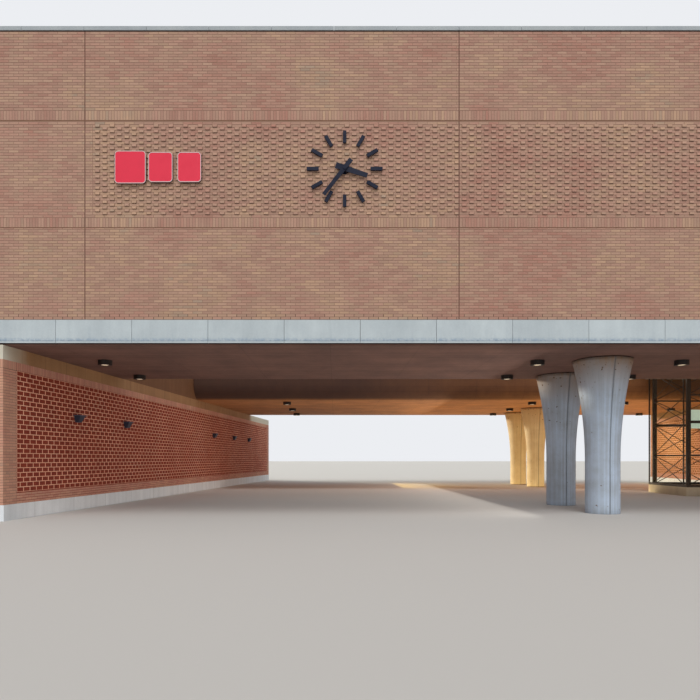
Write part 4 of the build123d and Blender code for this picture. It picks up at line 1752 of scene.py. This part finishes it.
@dataclass
class Studio:
    """Floor, lights and a camera at the photograph's viewing angle."""

    camera_height: float = 1.66
    camera_distance: float = 15.56
    camera_x: float = -3.30
    shift_x: float = 15.0 / PHOTO_WIDTH_PX
    shift_y: float = 109.0 / PHOTO_WIDTH_PX
    floor_reach: float = 400.0
    sky_light: float = 0.46
    sky_colour: Colour = (0.96, 0.98, 1.0)
    backdrop: Colour = linear(236, 238, 242)
    lights: tuple[Union[Sun, Glow], ...] = (
        Sun("high_sun", 1.45, 40, 52, 0, (1.0, 0.98, 0.96)),
        Sun("low_right_sun", 0.35, 40, 7, 10, (1.0, 0.95, 0.88)),
        Sun("low_left_sun", 0.3, 30, 9, -10, (0.86, 0.94, 1.0)),
        Sun("evening_sun", 2.6, 3, 8, -130, (1.0, 0.92, 0.74)),
        Glow("wall_glow", (2.8, -3.0, 2.3), Aim.TO_LEFT, (4.0, 22.0), 3.0, (1.0, 0.94, 0.86)),
        Glow("road_glow", (-5.5, -5.5, 0.03), Aim.UP, (14.0, 18.0), 0.62, (1.0, 0.86, 0.74)),
        Glow("right_glow", (10.5, -9.5, 0.03), Aim.UP, (9.0, 9.0), 1.0, (1.0, 0.76, 0.56)),
        Glow("gap_glow", (11.0, -0.9, 0.03), Aim.UP, (9.0, 1.6), 5.0, (1.0, 0.66, 0.30)),
        Glow("rear_glow", (11.4, 3.8, 0.03), Aim.UP, (10.2, 12.0), 3.6, (1.0, 0.80, 0.42)),
        Glow("rear_side_glow", (0.5, 6.0, 1.4), Aim.TO_RIGHT, (2.4, 6.5), 6.6, (1.0, 0.70, 0.24)),
        Glow("lobby_glow", (16.9, 7.2, 2.7), Aim.TO_RIGHT, (2.0, 6.4), 3.4, (1.0, 0.95, 0.25)),
    )

    def build(self) -> None:
        """Set up everything that isn't part of the object."""
        bpy.context.scene.view_settings.view_transform = "Standard"
        self.lay_floor()
        self.light_world()
        for light in self.lights:
            light.build()
        self.set_camera()

    def lay_floor(self) -> None:
        """Lay a plain pale floor at ground level."""
        reach = self.floor_reach
        mesh = bpy.data.meshes.new("floor")
        mesh.from_pydata([(-reach, -reach, 0), (reach, -reach, 0), (reach, reach, 0), (-reach, reach, 0)],
                         [], [(0, 1, 2, 3)])
        mesh.materials.append(FloorFinish().material())
        floor = put("floor", mesh)

    def light_world(self) -> None:
        """Light evenly from all round, and show a pale sky behind the object."""
        world = bpy.data.worlds.new("studio_sky")
        graph = Graph(world)
        light = graph.node("ShaderNodeBackground", Color=self.sky_colour, Strength=self.sky_light)
        shown = graph.node("ShaderNodeBackground", Color=self.backdrop)
        rays = graph.node("ShaderNodeLightPath").outputs
        seen = graph.math("MAXIMUM", rays["Is Camera Ray"], rays["Is Glossy Ray"])
        seen = graph.math("MAXIMUM", seen, rays["Is Transmission Ray"])
        mixed = graph.node("ShaderNodeMixShader", None, {0: seen, 1: light.outputs[0], 2: shown.outputs[0]})
        graph.node("ShaderNodeOutputWorld", Surface=mixed.outputs[0])
        bpy.context.scene.world = world

    def set_camera(self) -> None:
        """Put the camera at the photograph's viewpoint, level and square to the front."""
        view = bpy.data.cameras.new("camera")
        view.sensor_width = SENSOR_MM
        view.lens = PHOTO_FOCAL_PX / PHOTO_WIDTH_PX * SENSOR_MM
        view.shift_x = self.shift_x
        view.shift_y = self.shift_y
        view.clip_end = 1000
        stand = corners("front_brick_lower")[0][1] - self.camera_distance
        bpy.context.scene.camera = put("camera", view, (self.camera_x, stand, self.camera_height),
                                       (math.radians(90), 0, 0))


def main() -> None:
    """Build and dress the station piece by piece."""
    logging.basicConfig(level=logging.INFO, format="%(name)s: %(message)s")
    brick = BrickFinish().material()
    mortar = MortarFinish().material()
    Studio().build()
    Storey().build(brick, mortar)
    Concrete().build()
    Columns().build()
    BaseWalls().build(brick, mortar)
    Fittings().build()


if __name__ == "__main__":
    main()
